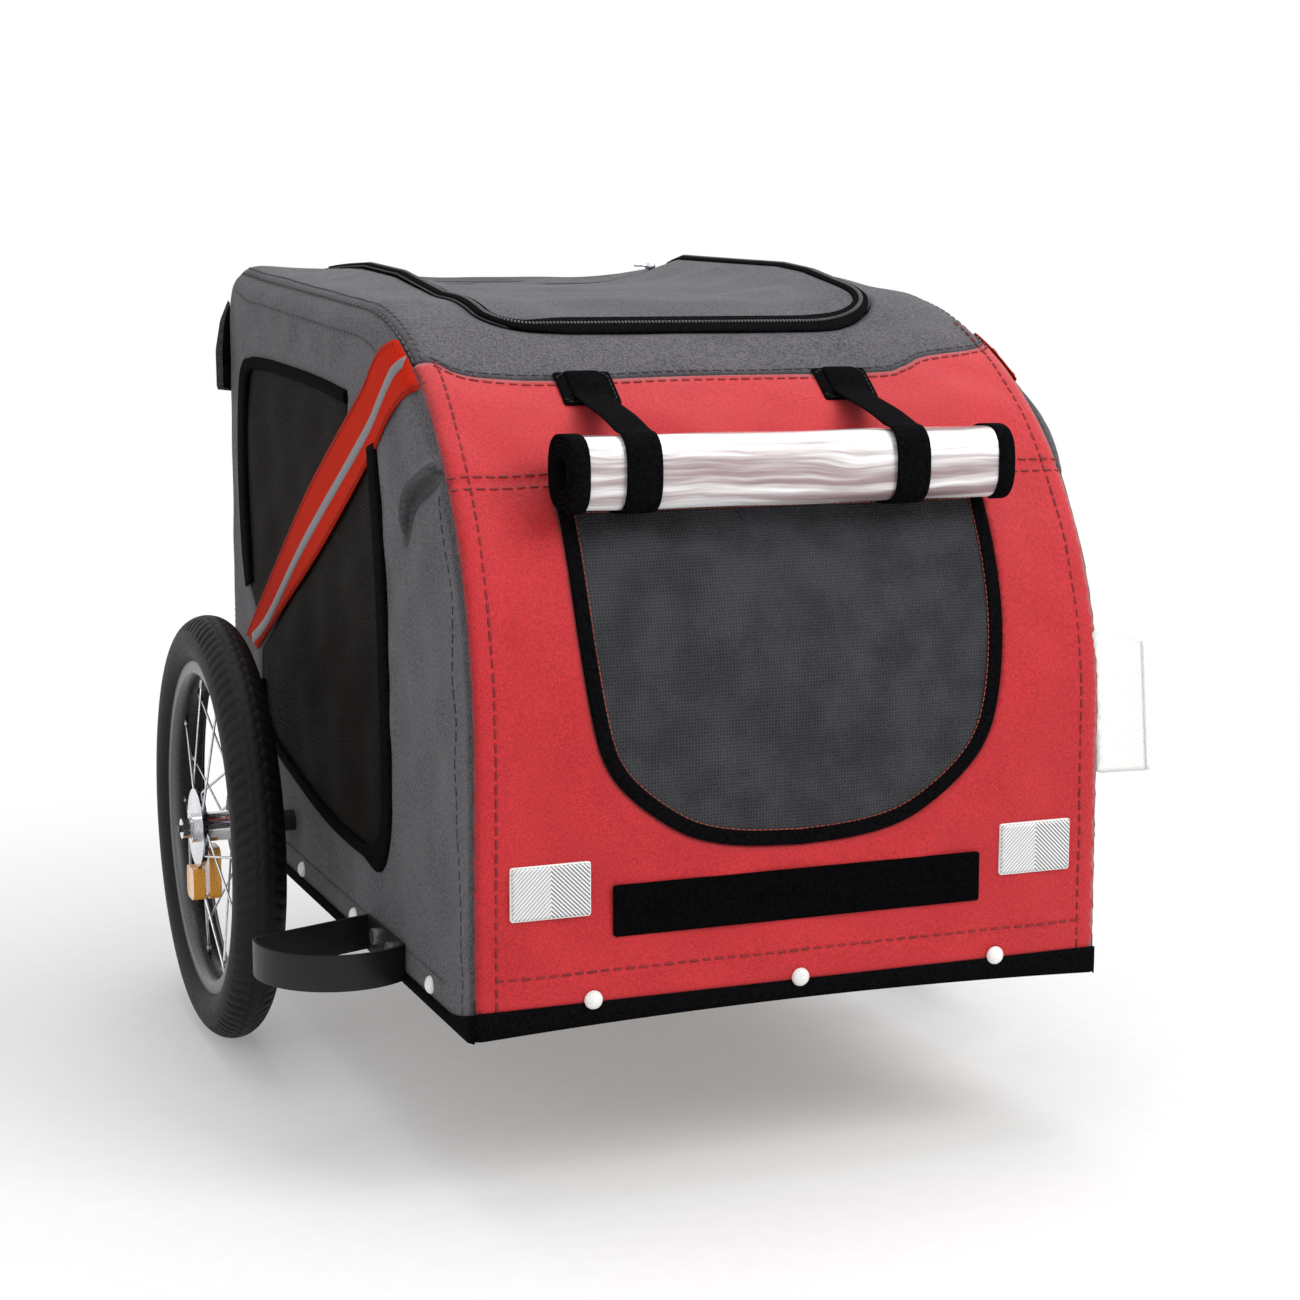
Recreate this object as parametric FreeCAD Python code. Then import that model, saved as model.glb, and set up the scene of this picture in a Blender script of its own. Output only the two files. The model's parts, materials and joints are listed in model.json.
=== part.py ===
import FreeCAD, Part
import math
import os
from FreeCAD import Vector

os.makedirs("parts", exist_ok=True)

# Dog bike trailer. X to the right seen from the front, Y from the front face to the rear, Z up.
# The origin is on the ground below the middle of the trailer. All lengths in millimetres.

# Cabin: one side profile drawn across the width, with two side walls that lean in a little.
cabin_length = 820.0
cabin_width = 545.0
skirt_foot_z = 139.0
front_foot_z = 162.0
side_foot_z = 150.0
side_hem_foot_z = 142.0
front_straight_top_z = 360.0
front_bow_r = 340.0
front_bow_deg = 50.0
crown_r = 330.0
roof_rise_deg = 3.3
rear_corner_r = 45.0
side_lean_deg = 0.3
cloth_t = 2.5
trim_t = 1.2
mesh_t = 0.8
seat_gap = 0.3
cut_over = 30.0

# Cloth panels
front_panel_top_z = 637.0

# Windows in the side walls, as shares of the cabin length and of the wall height
rear_window_shares = ((0.872, 0.432), (0.915, 0.872), (0.405, 0.842))
front_window_shares = (
    (0.323, 0.777), (0.300, 0.178), (0.372, 0.140), (0.776, 0.205), (0.840, 0.335))
window_corner_r = 9.0
binding_width = 11.0
diagonal_band_width = 64.0
diagonal_tape_width = 13.0
diagonal_tape_t = 0.6
diagonal_foot_share = (0.867, 0.360)
diagonal_top_share = (0.184, 0.978)

# Front mesh door
door_side_margin = 92.5
door_foot_z = 272.0
door_top_z = 535.0
door_corner_r = 150.0
door_binding_width = 9.0
door_binding_proud = 1.5

# Roof hatch
hatch_side_margin = 82.5
hatch_front_setback = 205.0
hatch_rear_margin = 85.0
hatch_corner_r = 45.0
hatch_tape_width = 14.0
hatch_tape_proud = 5.0
hatch_tape_end_gap = 14.0
zip_slider_length = 14.0
zip_slider_width = 9.0
zip_slider_height = 6.0

# Rain cover roll, its straps and their patches
roll_r = 28.5
roll_wall = 19.0
roll_side_margin = 85.5
roll_setback = 34.0
roll_z = 570.0
roll_binding_length = 12.0
roll_binding_t = 2.0
strap_width = 29.0
strap_t = 1.6
strap_left_margin = 56.5
strap_right_margin = 90.5
strap_end_deg = 320.0
patch_deg = 51.5
patch_width = 44.0
patch_arc_deg = 3.2

# Trim on the front panel
reflector_side_margin = 32.5
reflector_width = 64.0
reflector_height = 41.0
reflector_foot_z = 233.0
reflector_t = 3.0
fastening_strip_side_margin = 114.0
fastening_strip_height = 41.0
fastening_strip_foot_z = 213.0
fastening_strip_t = 1.5
tag_length = 45.0
tag_height = 120.0
tag_t = 1.0
tag_foot_z = 310.0
tag_setback = 6.0

# Base frame
rail_size = 25.0
rail_wall = 1.5
rail_foot_z = 150.0
floor_t = 6.0
floor_edge_gap = 2.0
mid_rail_setback = 480.0

# Side hoops and roof bars
hoop_r = 9.5
hoop_wall = 1.5
hoop_set_in = 9.0
spigot_gap = 0.1
spigot_length = 40.0
bar_r = 8.0
bar_wall = 1.2
front_bar_deg = 58.0
rear_bar_margin = 58.0

# Rivets along the foot
rivet_head_r = 8.0
rivet_head_height = 5.0
rivet_shank_r = 2.4
rivet_hole_gap = 0.05
rivet_side_margin = 97.5
rivet_front_z = 165.0
rivet_side_z = 160.0
rivet_side_shares = (0.132, 0.416, 0.645, 0.90)

# Wheels
wheel_r = 200.0
wheel_stand_off = 72.5
axle_rear_margin = 253.0
tyre_section_r = 24.0
tyre_wall = 4.0
tube_gap = 0.5
rim_outer_r = 157.0
rim_depth = 14.0
rim_width = 30.0
rim_wall = 2.0
hub_half_width = 26.0
hub_barrel_r = 14.0
hub_flange_r = 37.0
hub_flange_t = 5.0
spoke_count = 20
spoke_r = 1.1
spoke_cross_deg = 38.0
bearing_r = 11.0
bearing_width = 7.0
bearing_seat_gap = 0.02
running_gap = 0.03
reflector_lens_t = 26.0
reflector_lens_length = 64.0
reflector_lens_width = 26.0
reflector_lens_r = 52.0
reflector_lens_round = 2.0

# Stub axles, receivers and release buttons
axle_r = 6.0
axle_end_depth = 3.5
axle_head_r = 9.5
axle_head_t = 8.0
button_r = 3.5
button_proud = 3.0
button_stroke = 2.0
button_depth = 6.0
receiver_r = 10.0
receiver_end_gap = 2.0
block_length = 44.0
block_height = 46.0
block_width = 22.0

# Wheel guards
guard_foot_z = 145.0
guard_height = 30.0
guard_t = 3.0
guard_wheel_gap = 78.0
guard_length = 109.0
guard_tip_margin = 42.0
guard_tip_reach = 112.0
guard_bow_lead = 9.0
guard_bow_reach = 78.0
guard_bolt_r = 4.0
guard_bolt_head_r = 7.0
guard_bolt_head_t = 4.0
guard_bolt_share = 0.28

# Towing arm, stowed under the floor
arm_pivot_inset = 50.5
arm_pivot_setback = 165.0
arm_z = 118.0
arm_r = 11.0
arm_wall = 1.8
arm_length = 500.0
arm_rest_deg = 10.0
arm_eye_r = 17.0
arm_eye_height = 25.0
arm_bolt_r = 6.0
arm_bolt_head_r = 9.5
arm_bolt_head_t = 7.0
arm_nut_t = 9.0
bracket_t = 6.0
bracket_length = 60.0
bracket_inner_reach = 24.0
coupler_plate_t = 6.0
coupler_plate_length = 62.0
coupler_bore_r = 5.2
coupler_bore_back = 14.0
coupler_fork_t = 4.0
coupler_fork_length = 34.0
coupler_pin_r = 4.0
coupler_pin_head_t = 4.0
coupler_pin_head_r = 7.0

front_y = -cabin_length / 2
rear_y = cabin_length / 2
half_width = cabin_width / 2
door_half_width = half_width - door_side_margin
hatch_half_width = half_width - hatch_side_margin
hatch_rear_setback = cabin_length - hatch_rear_margin
roll_half_length = half_width - roll_side_margin
strap_places = (strap_left_margin - roll_half_length, roll_half_length - strap_right_margin)
reflector_inner_x = half_width - reflector_side_margin - reflector_width
fastening_strip_half_length = half_width - fastening_strip_side_margin
rear_bar_setback = cabin_length - rear_bar_margin
rivet_front_spacing = half_width - rivet_side_margin
wheel_mid_x = half_width + wheel_stand_off
axle_setback = cabin_length - axle_rear_margin
guard_rear_setback = axle_setback - wheel_r - guard_wheel_gap
guard_front_setback = guard_rear_setback - guard_length
guard_tip_setback = guard_rear_setback - guard_tip_margin
guard_bow_setback = guard_front_setback - guard_bow_lead
side_axis = Vector(0, 1, 0)
across = Vector(1, 0, 0)
up = Vector(0, 0, 1)
written = []


def save(name, solids):
    """Writes one node, a single solid or a group of separate ones."""
    shape = solids[0] if len(solids) == 1 else Part.makeCompound(solids)
    shape.exportStep("parts/" + name + ".step")
    written.append(name)


def block(low, high):
    return Part.makeBox(high.x - low.x, high.y - low.y, high.z - low.z, low)


def rod(start, end, radius):
    return Part.makeCylinder(radius, (end - start).Length, start, end - start)


def tube(start, end, radius, bore):
    return rod(start, end, radius).cut(rod(start, end, bore))


def mirrored(shape):
    return shape.mirror(Vector(0, 0, 0), across)


def pair(shape):
    """The left piece and its twin on the right."""
    return [shape, mirrored(shape)]


def pairs(shapes):
    return shapes + [mirrored(shape) for shape in shapes]


# Side profile of the cabin

def polar(centre, radius, deg):
    """A point on a profile arc: 0 faces the front, 90 faces up, 180 faces the rear."""
    angle = math.radians(deg)
    return Vector(0, centre.y - radius * math.cos(angle), centre.z + radius * math.sin(angle))


roof_deg = 90.0 - roof_rise_deg
bow_centre = Vector(0, front_y + front_bow_r, front_straight_top_z)
crown_centre = polar(bow_centre, front_bow_r - crown_r, front_bow_deg)
corner_y = rear_y - rear_corner_r
corner_run = (corner_y - crown_centre.y) * math.cos(math.radians(roof_deg))
corner_rise = (crown_r - rear_corner_r + corner_run) / math.sin(math.radians(roof_deg))
corner_centre = Vector(0, corner_y, crown_centre.z + corner_rise)
eave_z = polar(crown_centre, crown_r, roof_deg).z
wall_height = eave_z - side_foot_z


def profile_path(inset, foot_z):
    """The profile line from the front foot over the roof to the rear foot, moved inwards by inset."""
    bow = front_bow_r - inset
    crown = crown_r - inset
    corner = rear_corner_r - inset
    start = Vector(0, front_y + inset, foot_z)
    bow_start = polar(bow_centre, bow, 0)
    bow_end = polar(bow_centre, bow, front_bow_deg)
    roof_start = polar(crown_centre, crown, roof_deg)
    roof_end = polar(corner_centre, corner, roof_deg)
    corner_end = polar(corner_centre, corner, 180)
    end = Vector(0, rear_y - inset, foot_z)
    curves = [
        Part.LineSegment(start, bow_start),
        Part.Arc(bow_start, polar(bow_centre, bow, front_bow_deg / 2), bow_end),
        Part.Arc(bow_end, polar(crown_centre, crown, (front_bow_deg + roof_deg) / 2), roof_start),
        Part.LineSegment(roof_start, roof_end),
        Part.Arc(roof_end, polar(corner_centre, corner, (roof_deg + 180) / 2), corner_end),
        Part.LineSegment(corner_end, end),
    ]
    return [curve.toShape() for curve in curves], start, end


def profile_prism(inset, foot_z):
    edges, start, end = profile_path(inset, foot_z)
    face = Part.Face(Part.Wire(edges + [Part.LineSegment(end, start).toShape()]))
    face.translate(Vector(-cabin_width, 0, 0))
    return face.extrude(Vector(2 * cabin_width, 0, 0))


def on_left(shape):
    """Takes a piece drawn at depth x behind the left wall's face and leans it with that wall."""
    placed = shape.copy()
    placed.translate(Vector(-half_width, 0, 0))
    placed.rotate(Vector(-half_width, 0, skirt_foot_z), side_axis, side_lean_deg)
    return placed


wall_reach = 2 * cabin_length
left_cutter = on_left(
    block(Vector(-cabin_width, -wall_reach, -wall_reach), Vector(cloth_t, wall_reach, wall_reach)))
side_cutters = pair(left_cutter)


def cloth_band(outer, inner, foot_z):
    """The sheet that runs over the front, the roof and the rear, between the two side walls."""
    sheet = profile_prism(outer, foot_z).cut(profile_prism(inner, foot_z - cut_over))
    return sheet.cut(side_cutters)


def slab(low_y, high_y, low_z, high_z):
    return block(Vector(-cabin_width, low_y, low_z), Vector(cabin_width, high_y, high_z))


band = cloth_band(0, cloth_t, front_foot_z)
top_z = corner_centre.z + rear_corner_r + cut_over
rear_split_z = corner_centre.z
front_half = slab(front_y - cut_over, 0, front_foot_z, front_panel_top_z)
rear_half = slab(0, rear_y + cut_over, front_foot_z, rear_split_z)


# Front panel with its doorway, and the mesh door

def doorway(margin):
    """The door outline, straight above and well rounded below, as a prism along Y."""
    half = door_half_width - margin
    corner = door_corner_r - margin
    low_corner = Vector(-half, front_y - cut_over, door_foot_z + margin)
    prism = block(low_corner, Vector(half, 0, door_top_z - margin))
    low = [edge for edge in prism.Edges
           if abs(edge.Vertexes[0].Z - edge.Vertexes[1].Z) < seat_gap
           and abs(edge.Vertexes[0].X - edge.Vertexes[1].X) < seat_gap
           and edge.Vertexes[0].Z < door_top_z - door_corner_r]
    return prism.makeFillet(corner, low)


front_panel = band.common(front_half).cut(doorway(0))
door_ring = doorway(seat_gap).cut(doorway(seat_gap + door_binding_width))
door_binding = cloth_band(-door_binding_proud, cloth_t, front_foot_z).common(door_ring)
mesh_depth = (cloth_t - mesh_t) / 2
door_mesh = cloth_band(mesh_depth, mesh_depth + mesh_t, front_foot_z).common(
    doorway(seat_gap + door_binding_width))


# Roof with its hatchway, and the hatch

def hatchway(margin, rear_margin):
    """The hatch outline, rounded at its two front corners, as an upright prism."""
    half = hatch_half_width - margin
    low = Vector(-half, front_y + hatch_front_setback + margin, door_top_z)
    high = Vector(half, front_y + hatch_rear_setback - rear_margin, top_z)
    prism = block(low, high)
    uprights = [edge for edge in prism.Edges
                if edge.BoundBox.ZLength > rear_corner_r and edge.Vertexes[0].Y < low.y + hatch_corner_r]
    return prism.makeFillet(hatch_corner_r - margin, uprights)


roof_panel = band.cut([front_half, rear_half]).cut(hatchway(0, 0))
rear_panel = band.common(rear_half)
hatch_panel = cloth_band(0, cloth_t, front_foot_z).common(hatchway(seat_gap, seat_gap))
tape_ring = hatchway(seat_gap, seat_gap + hatch_tape_end_gap).cut(
    hatchway(seat_gap + hatch_tape_width, seat_gap - cut_over))
hatch_tape = cloth_band(-hatch_tape_proud, 0, front_foot_z).common(tape_ring)


def roof_height(setback):
    """Height of the roof's outer face on its straight run."""
    start = polar(crown_centre, crown_r, roof_deg)
    return start.z + (front_y + setback - start.y) * math.tan(math.radians(roof_rise_deg))


slider_y = front_y + hatch_rear_setback - hatch_tape_end_gap - zip_slider_length - cut_over
slider_z = roof_height(slider_y + zip_slider_length - front_y) + hatch_tape_proud + seat_gap
slider_x = hatch_half_width - seat_gap - hatch_tape_width / 2
zip_slider = block(
    Vector(slider_x - zip_slider_width / 2, slider_y, slider_z),
    Vector(slider_x + zip_slider_width / 2, slider_y + zip_slider_length, slider_z + zip_slider_height))
zip_slider = zip_slider.makeChamfer(zip_slider_height / 4, zip_slider.Edges)


# Side walls with two windows each, drawn at depth x behind the face

def wall_point(share):
    return Vector(0, front_y + share[0] * cabin_length, side_foot_z + share[1] * wall_height)


def wall_plate(points, low_depth, high_depth, corner_r):
    """A flat plate with rounded corners, parallel to the side wall."""
    wire = Part.makePolygon(points + points[:1])
    face = Part.Face(wire)
    face.translate(Vector(low_depth, 0, 0))
    plate = face.extrude(Vector(high_depth - low_depth, 0, 0))
    if corner_r == 0:
        return plate
    corners = [edge for edge in plate.Edges if edge.BoundBox.XLength > (high_depth - low_depth) / 2]
    return plate.makeFillet(corner_r, corners)


def grown(points, margin):
    """The polygon moved outwards by margin, edge by edge."""
    middle = sum((point for point in points), Vector(0, 0, 0)) / len(points)
    lines = []
    for index, point in enumerate(points):
        along = points[(index + 1) % len(points)] - point
        normal = Vector(0, along.z, -along.y).normalize()
        if normal.dot(point - middle) < 0:
            normal = -normal
        lines.append((point + normal * margin, along))
    moved = []
    for index, (start, along) in enumerate(lines):
        before, before_along = lines[index - 1]
        gap = start - before
        cross = before_along.y * along.z - before_along.z * along.y
        run = (gap.y * along.z - gap.z * along.y) / cross
        moved.append(before + before_along * run)
    return moved


windows = [
    [wall_point(share) for share in rear_window_shares],
    [wall_point(share) for share in front_window_shares]]
wall_outline = profile_prism(0, side_foot_z)
through = [wall_plate(points, -cut_over, cut_over, window_corner_r) for points in windows]
side_wall = wall_outline.common(block(Vector(0, front_y, side_foot_z), Vector(cloth_t, rear_y, top_z)))
side_wall = side_wall.cut(through)
side_mesh = [wall_plate(points, mesh_depth, mesh_depth + mesh_t, window_corner_r) for points in windows]


def diagonal_strip(width, low_depth, high_depth):
    foot = wall_point(diagonal_foot_share)
    head = wall_point(diagonal_top_share)
    along = (head - foot).normalize()
    aside = Vector(0, along.z, -along.y) * (width / 2)
    return wall_plate([foot - aside, head - aside, head + aside, foot + aside], low_depth, high_depth, 0)


band_path = diagonal_strip(diagonal_band_width, -cut_over, cut_over)
wall_skin = wall_outline.common(block(Vector(-trim_t, front_y, side_foot_z), Vector(0, rear_y, top_z)))
diagonal_band = wall_skin.common(band_path)
tape_skin = wall_outline.common(
    block(Vector(-trim_t - diagonal_tape_t, front_y, side_foot_z), Vector(-trim_t, rear_y, top_z)))
diagonal_tape = tape_skin.common(diagonal_strip(diagonal_tape_width, -cut_over, cut_over))
side_binding = []
for points in windows:
    reach = binding_width / 2
    outside = wall_plate(grown(points, reach), -trim_t, 0, window_corner_r + reach)
    inside = wall_plate(grown(points, -reach), -trim_t, 0, window_corner_r - reach)
    side_binding += outside.cut(inside).cut(band_path).Solids


# Skirt along the foot of the cabin
skirt_band = cloth_band(0, cloth_t, skirt_foot_z).common(
    slab(2 * front_y, 2 * rear_y, skirt_foot_z, front_foot_z))
side_hem = block(Vector(0, front_y, side_hem_foot_z), Vector(cloth_t, rear_y, side_foot_z))
skirt = skirt_band.Solids + pair(on_left(side_hem))

# Base frame rails, inside the cloth. The side rails stand clear of the leaning wall at their top edge.
lean = math.tan(math.radians(side_lean_deg))
rail_top_z = rail_foot_z + rail_size
wall_across = cloth_t / math.cos(math.radians(side_lean_deg))
rail_x = half_width - wall_across - (rail_top_z - skirt_foot_z) * lean - seat_gap
rail_y = rear_y - cloth_t - seat_gap


def hollow_rail(low, high, axis):
    """A square tube, open at its two ends, along axis."""
    wall = Vector(rail_wall, rail_wall, rail_wall)
    over = Vector(axis.x * 2 * rail_wall, axis.y * 2 * rail_wall, axis.z * 2 * rail_wall)
    return block(low, high).cut(block(low + wall - over, high - wall + over))


left_rail = hollow_rail(
    Vector(-rail_x, -rail_y, rail_foot_z), Vector(-rail_x + rail_size, rail_y, rail_top_z), Vector(0, 1, 0))
side_rails = pair(left_rail)
cross_rail_starts = (-rail_y, front_y + mid_rail_setback, rail_y - rail_size)
cross_rails = [
    hollow_rail(
        Vector(-rail_x + rail_size, start, rail_foot_z),
        Vector(rail_x - rail_size, start + rail_size, rail_top_z), Vector(1, 0, 0))
    for start in cross_rail_starts]

# Side hoops, their spigots and the roof bars, drawn at depth x behind the wall's face
hoop_inset = cloth_t + seat_gap + hoop_r + hoop_set_in
hoop_depth = hoop_inset
hoop_foot_z = rail_top_z + (hoop_depth + hoop_r) * lean + seat_gap


def bent_rod(radius, foot_z):
    edges, start, end = profile_path(hoop_inset, foot_z)
    ring = Part.Wire(Part.makeCircle(radius, start, up))
    return Part.Wire(edges).makePipeShell([ring], True, False)


hoop = bent_rod(hoop_r, hoop_foot_z).cut(bent_rod(hoop_r - hoop_wall, hoop_foot_z - cut_over))
hoop.translate(Vector(hoop_depth, 0, 0))
left_hoop = on_left(hoop)
floor_cut = block(Vector(-cabin_width, -cabin_length, 0), Vector(cabin_width, cabin_length, rail_top_z))
spigots = []
for foot_y in (front_y + hoop_inset, rear_y - hoop_inset):
    foot = Vector(hoop_depth, foot_y, rail_foot_z)
    head = Vector(hoop_depth, foot_y, hoop_foot_z + spigot_length)
    spigots += pair(on_left(rod(foot, head, hoop_r - hoop_wall - spigot_gap)).cut(floor_cut))


def roof_bar(middle):
    """A cross tube that butts against the two hoops under the cloth."""
    reach = half_width - hoop_depth - (middle.z - skirt_foot_z) * lean - hoop_r - seat_gap
    return tube(middle - across * reach, middle + across * reach, bar_r, bar_r - bar_wall)


front_bar = roof_bar(polar(crown_centre, crown_r - hoop_inset, front_bar_deg))
rear_bar = roof_bar(
    Vector(0, front_y + rear_bar_setback, roof_height(rear_bar_setback) - hoop_inset))


# Floor board, lying on the rails and cut round the spigots and the axle blocks
axle_y = front_y + axle_setback
axle_z = wheel_r
floor_half = rail_x - rail_size
floor_board = block(
    Vector(-floor_half - rail_size / 4, -rail_y + floor_edge_gap, rail_top_z),
    Vector(floor_half + rail_size / 4, rail_y - floor_edge_gap, rail_top_z + floor_t))

# Axle blocks on the side rails and the receivers in them
receiver_outer_x = wheel_mid_x - hub_half_width - receiver_end_gap
axle_block = block(
    Vector(-rail_x, axle_y - block_length / 2, rail_top_z),
    Vector(-rail_x + block_width, axle_y + block_length / 2, rail_top_z + block_height))
receiver_path = [Vector(-receiver_outer_x, axle_y, axle_z), Vector(-rail_x + block_width, axle_y, axle_z)]
receiver = tube(receiver_path[0], receiver_path[1], receiver_r, axle_r + running_gap)
axle_block = axle_block.cut(rod(receiver_path[0], receiver_path[1], receiver_r + bearing_seat_gap))
axle_block = axle_block.cut(profile_prism(0, 0).common(left_cutter))
floor_board = floor_board.cut(pair(block(
    Vector(-cabin_width, axle_y - block_length / 2 - floor_edge_gap, rail_foot_z),
    Vector(-rail_x + block_width + seat_gap, axle_y + block_length / 2 + floor_edge_gap, axle_z))))
receiver_hole = rod(
    Vector(-cabin_width, axle_y, axle_z), Vector(0, axle_y, axle_z), receiver_r + seat_gap)

# Stub axle with its head and release button
axle_outer_x = wheel_mid_x + hub_half_width + seat_gap
axle_head_x = axle_outer_x + axle_head_t
axle_start = Vector(-rail_x + block_width - axle_end_depth, axle_y, axle_z)
stub_axle = rod(axle_start, Vector(-axle_outer_x, axle_y, axle_z), axle_r)
axle_head = rod(Vector(-axle_outer_x, axle_y, axle_z), Vector(-axle_head_x, axle_y, axle_z), axle_head_r)
stub_axle = stub_axle.fuse(axle_head).removeSplitter()
button_floor_x = axle_head_x - button_depth
button_bore = rod(
    Vector(-button_floor_x, axle_y, axle_z),
    Vector(-axle_head_x - cut_over, axle_y, axle_z), button_r + running_gap)
stub_axle = stub_axle.cut(button_bore)
button = rod(
    Vector(-button_floor_x - button_stroke - seat_gap, axle_y, axle_z),
    Vector(-axle_head_x - button_proud, axle_y, axle_z), button_r)


# Wheel, built on the left

def wheel_point(radius, deg, x):
    angle = math.radians(deg)
    return Vector(x, axle_y + radius * math.sin(angle), axle_z + radius * math.cos(angle))


wheel_centre = Vector(-wheel_mid_x, axle_y, axle_z)
tyre_ring_r = wheel_r - tyre_section_r


def torus(section_r):
    return Part.makeTorus(tyre_ring_r, section_r, wheel_centre, across)


rim_cut = rod(
    wheel_centre - across * tyre_section_r * 2, wheel_centre + across * tyre_section_r * 2, rim_outer_r)
tyre = torus(tyre_section_r).cut(torus(tyre_section_r - tyre_wall)).cut(rim_cut)
inner_tube = torus(tyre_section_r - tyre_wall - tube_gap).cut(rim_cut)


def rim_ring(outer_r, inner_r, width):
    ends = [wheel_centre - across * (width / 2), wheel_centre + across * (width / 2)]
    return tube(ends[0], ends[1], outer_r, inner_r)


rim_inner_r = rim_outer_r - rim_depth
rim = rim_ring(rim_outer_r, rim_inner_r, rim_width)
rim_groove_r = rim_outer_r - rim_wall * 2
rim = rim.cut(rim_ring(rim_outer_r + rim_depth, rim_groove_r, rim_width - 4 * rim_wall))
rim_sides = [edge for edge in rim.Edges
             if edge.Closed and abs(edge.BoundBox.YLength / 2 - rim_inner_r) < seat_gap]
rim = rim.makeChamfer(rim_depth / 4, rim_sides)


def hub_slice(low, high, radius):
    return rod(wheel_centre + across * low, wheel_centre + across * high, radius)


hub = hub_slice(-hub_half_width, hub_half_width, hub_barrel_r)
flange_x = hub_half_width - hub_flange_t
for low in (-flange_x, flange_x - hub_flange_t):
    hub = hub.fuse(hub_slice(low, low + hub_flange_t, hub_flange_r))
hub = hub.removeSplitter().cut(hub_slice(-hub_half_width * 2, hub_half_width * 2, axle_r + seat_gap))
bearings = []
for low in (-hub_half_width, hub_half_width - bearing_width):
    high = low + bearing_width
    hub = hub.cut(hub_slice(low - bearing_seat_gap, high + bearing_seat_gap, bearing_r + bearing_seat_gap))
    bearings.append(hub_slice(low, high, bearing_r).cut(
        hub_slice(low - bearing_width, high + bearing_width, axle_r + running_gap)))

spoke_pass = spoke_r + seat_gap / 2
spokes = []
for index in range(spoke_count):
    side = -1 if index % 2 else 1
    lean_to = 1 if index % 4 < 2 else -1
    rim_deg = 360.0 * index / spoke_count
    hub_x = wheel_centre.x + side * (flange_x - hub_flange_t / 2) + lean_to * spoke_pass
    rim_x = wheel_centre.x + side * spoke_r * 3 + lean_to * spoke_pass
    spoke = rod(
        wheel_point(hub_flange_r - 2 * spoke_r, rim_deg + lean_to * spoke_cross_deg, hub_x),
        wheel_point(rim_inner_r + 2 * spoke_r, rim_deg, rim_x), spoke_r)
    spokes.append(spoke.cut([hub, rim]))

lens_middle = wheel_point(reflector_lens_r, 180, wheel_centre.x)
lens_half = Vector(reflector_lens_t / 2, reflector_lens_width / 2, reflector_lens_length / 2)
lens = block(lens_middle - lens_half, lens_middle + lens_half)
lens = lens.makeFillet(reflector_lens_round, lens.Edges).cut(spokes)

# Wheel guard, built on the left against the wall's foot
guard_x = -half_width - seat_gap
guard_near = Vector(guard_x, front_y + guard_front_setback, guard_foot_z)
guard_far = Vector(guard_x, front_y + guard_rear_setback, guard_foot_z)
guard_tip = Vector(-half_width - guard_tip_reach, front_y + guard_tip_setback, guard_foot_z)
guard_bow = Vector(-half_width - guard_bow_reach, front_y + guard_bow_setback, guard_foot_z)
guard_face = Part.Face(Part.Wire([
    Part.Arc(guard_near, guard_bow, guard_tip).toShape(),
    Part.LineSegment(guard_tip, guard_far).toShape(),
    Part.LineSegment(guard_far, guard_near).toShape()]))
guard_hole = guard_face.makeOffset2D(-guard_t, 2).extrude(up * guard_height)
guard = guard_face.extrude(up * guard_height).cut(guard_hole)
guard_span = guard_rear_setback - guard_front_setback
guard_bolt_z = (rail_foot_z + guard_foot_z + guard_height) / 2
guard_bolts = []
guard_holes = []
for share in (guard_bolt_share, 1 - guard_bolt_share):
    seat = Vector(guard_x - guard_t, front_y + guard_front_setback + share * guard_span, guard_bolt_z)
    tip = Vector(-rail_x + rail_wall, seat.y, seat.z)
    bolt_head = rod(seat - across * guard_bolt_head_t, seat, guard_bolt_head_r)
    guard_bolts.append(rod(seat, tip, guard_bolt_r).fuse(bolt_head).removeSplitter())
    hole_end = tip + across * rail_wall
    guard_holes.append(rod(seat - across * guard_t, hole_end, guard_bolt_r + rivet_hole_gap))
guard = guard.cut(guard_holes)

# Towing arm: an eye on the pivot bolt, a straight tube and a forked end with the coupler plate
arm_pivot = Vector(-rail_x + arm_pivot_inset, front_y + arm_pivot_setback, arm_z)
bracket = block(
    Vector(-rail_x, arm_pivot.y - bracket_length / 2, rail_foot_z - bracket_t),
    Vector(arm_pivot.x + bracket_inner_reach, arm_pivot.y + bracket_length / 2, rail_foot_z))
bracket_boss = rod(Vector(arm_pivot.x, arm_pivot.y, arm_z + arm_eye_height / 2 + seat_gap),
                   Vector(arm_pivot.x, arm_pivot.y, rail_foot_z - bracket_t), arm_eye_r)
bolt_path = [Vector(arm_pivot.x, arm_pivot.y, arm_z - arm_eye_height / 2 - seat_gap - arm_nut_t),
             Vector(arm_pivot.x, arm_pivot.y, rail_foot_z)]
bolt_bore = rod(bolt_path[0], bolt_path[1], arm_bolt_r + running_gap)
bracket = bracket.fuse(bracket_boss).removeSplitter().cut(bolt_bore)
arm_bolt = rod(bolt_path[0], bolt_path[1], arm_bolt_r)
arm_bolt_head = rod(bolt_path[1], bolt_path[1] + up * arm_bolt_head_t, arm_bolt_head_r)
arm_bolt = arm_bolt.fuse(arm_bolt_head).removeSplitter()
arm_nut = rod(bolt_path[0], bolt_path[0] + up * arm_nut_t, arm_bolt_head_r).cut(
    rod(bolt_path[0], bolt_path[1], arm_bolt_r + bearing_seat_gap))


def arm_piece(shape):
    """Turns a piece drawn on the arm's own line, from the pivot along Y, to the stowed direction."""
    placed = shape.copy()
    placed.translate(arm_pivot)
    placed.rotate(arm_pivot, up, -arm_rest_deg)
    return placed


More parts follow.
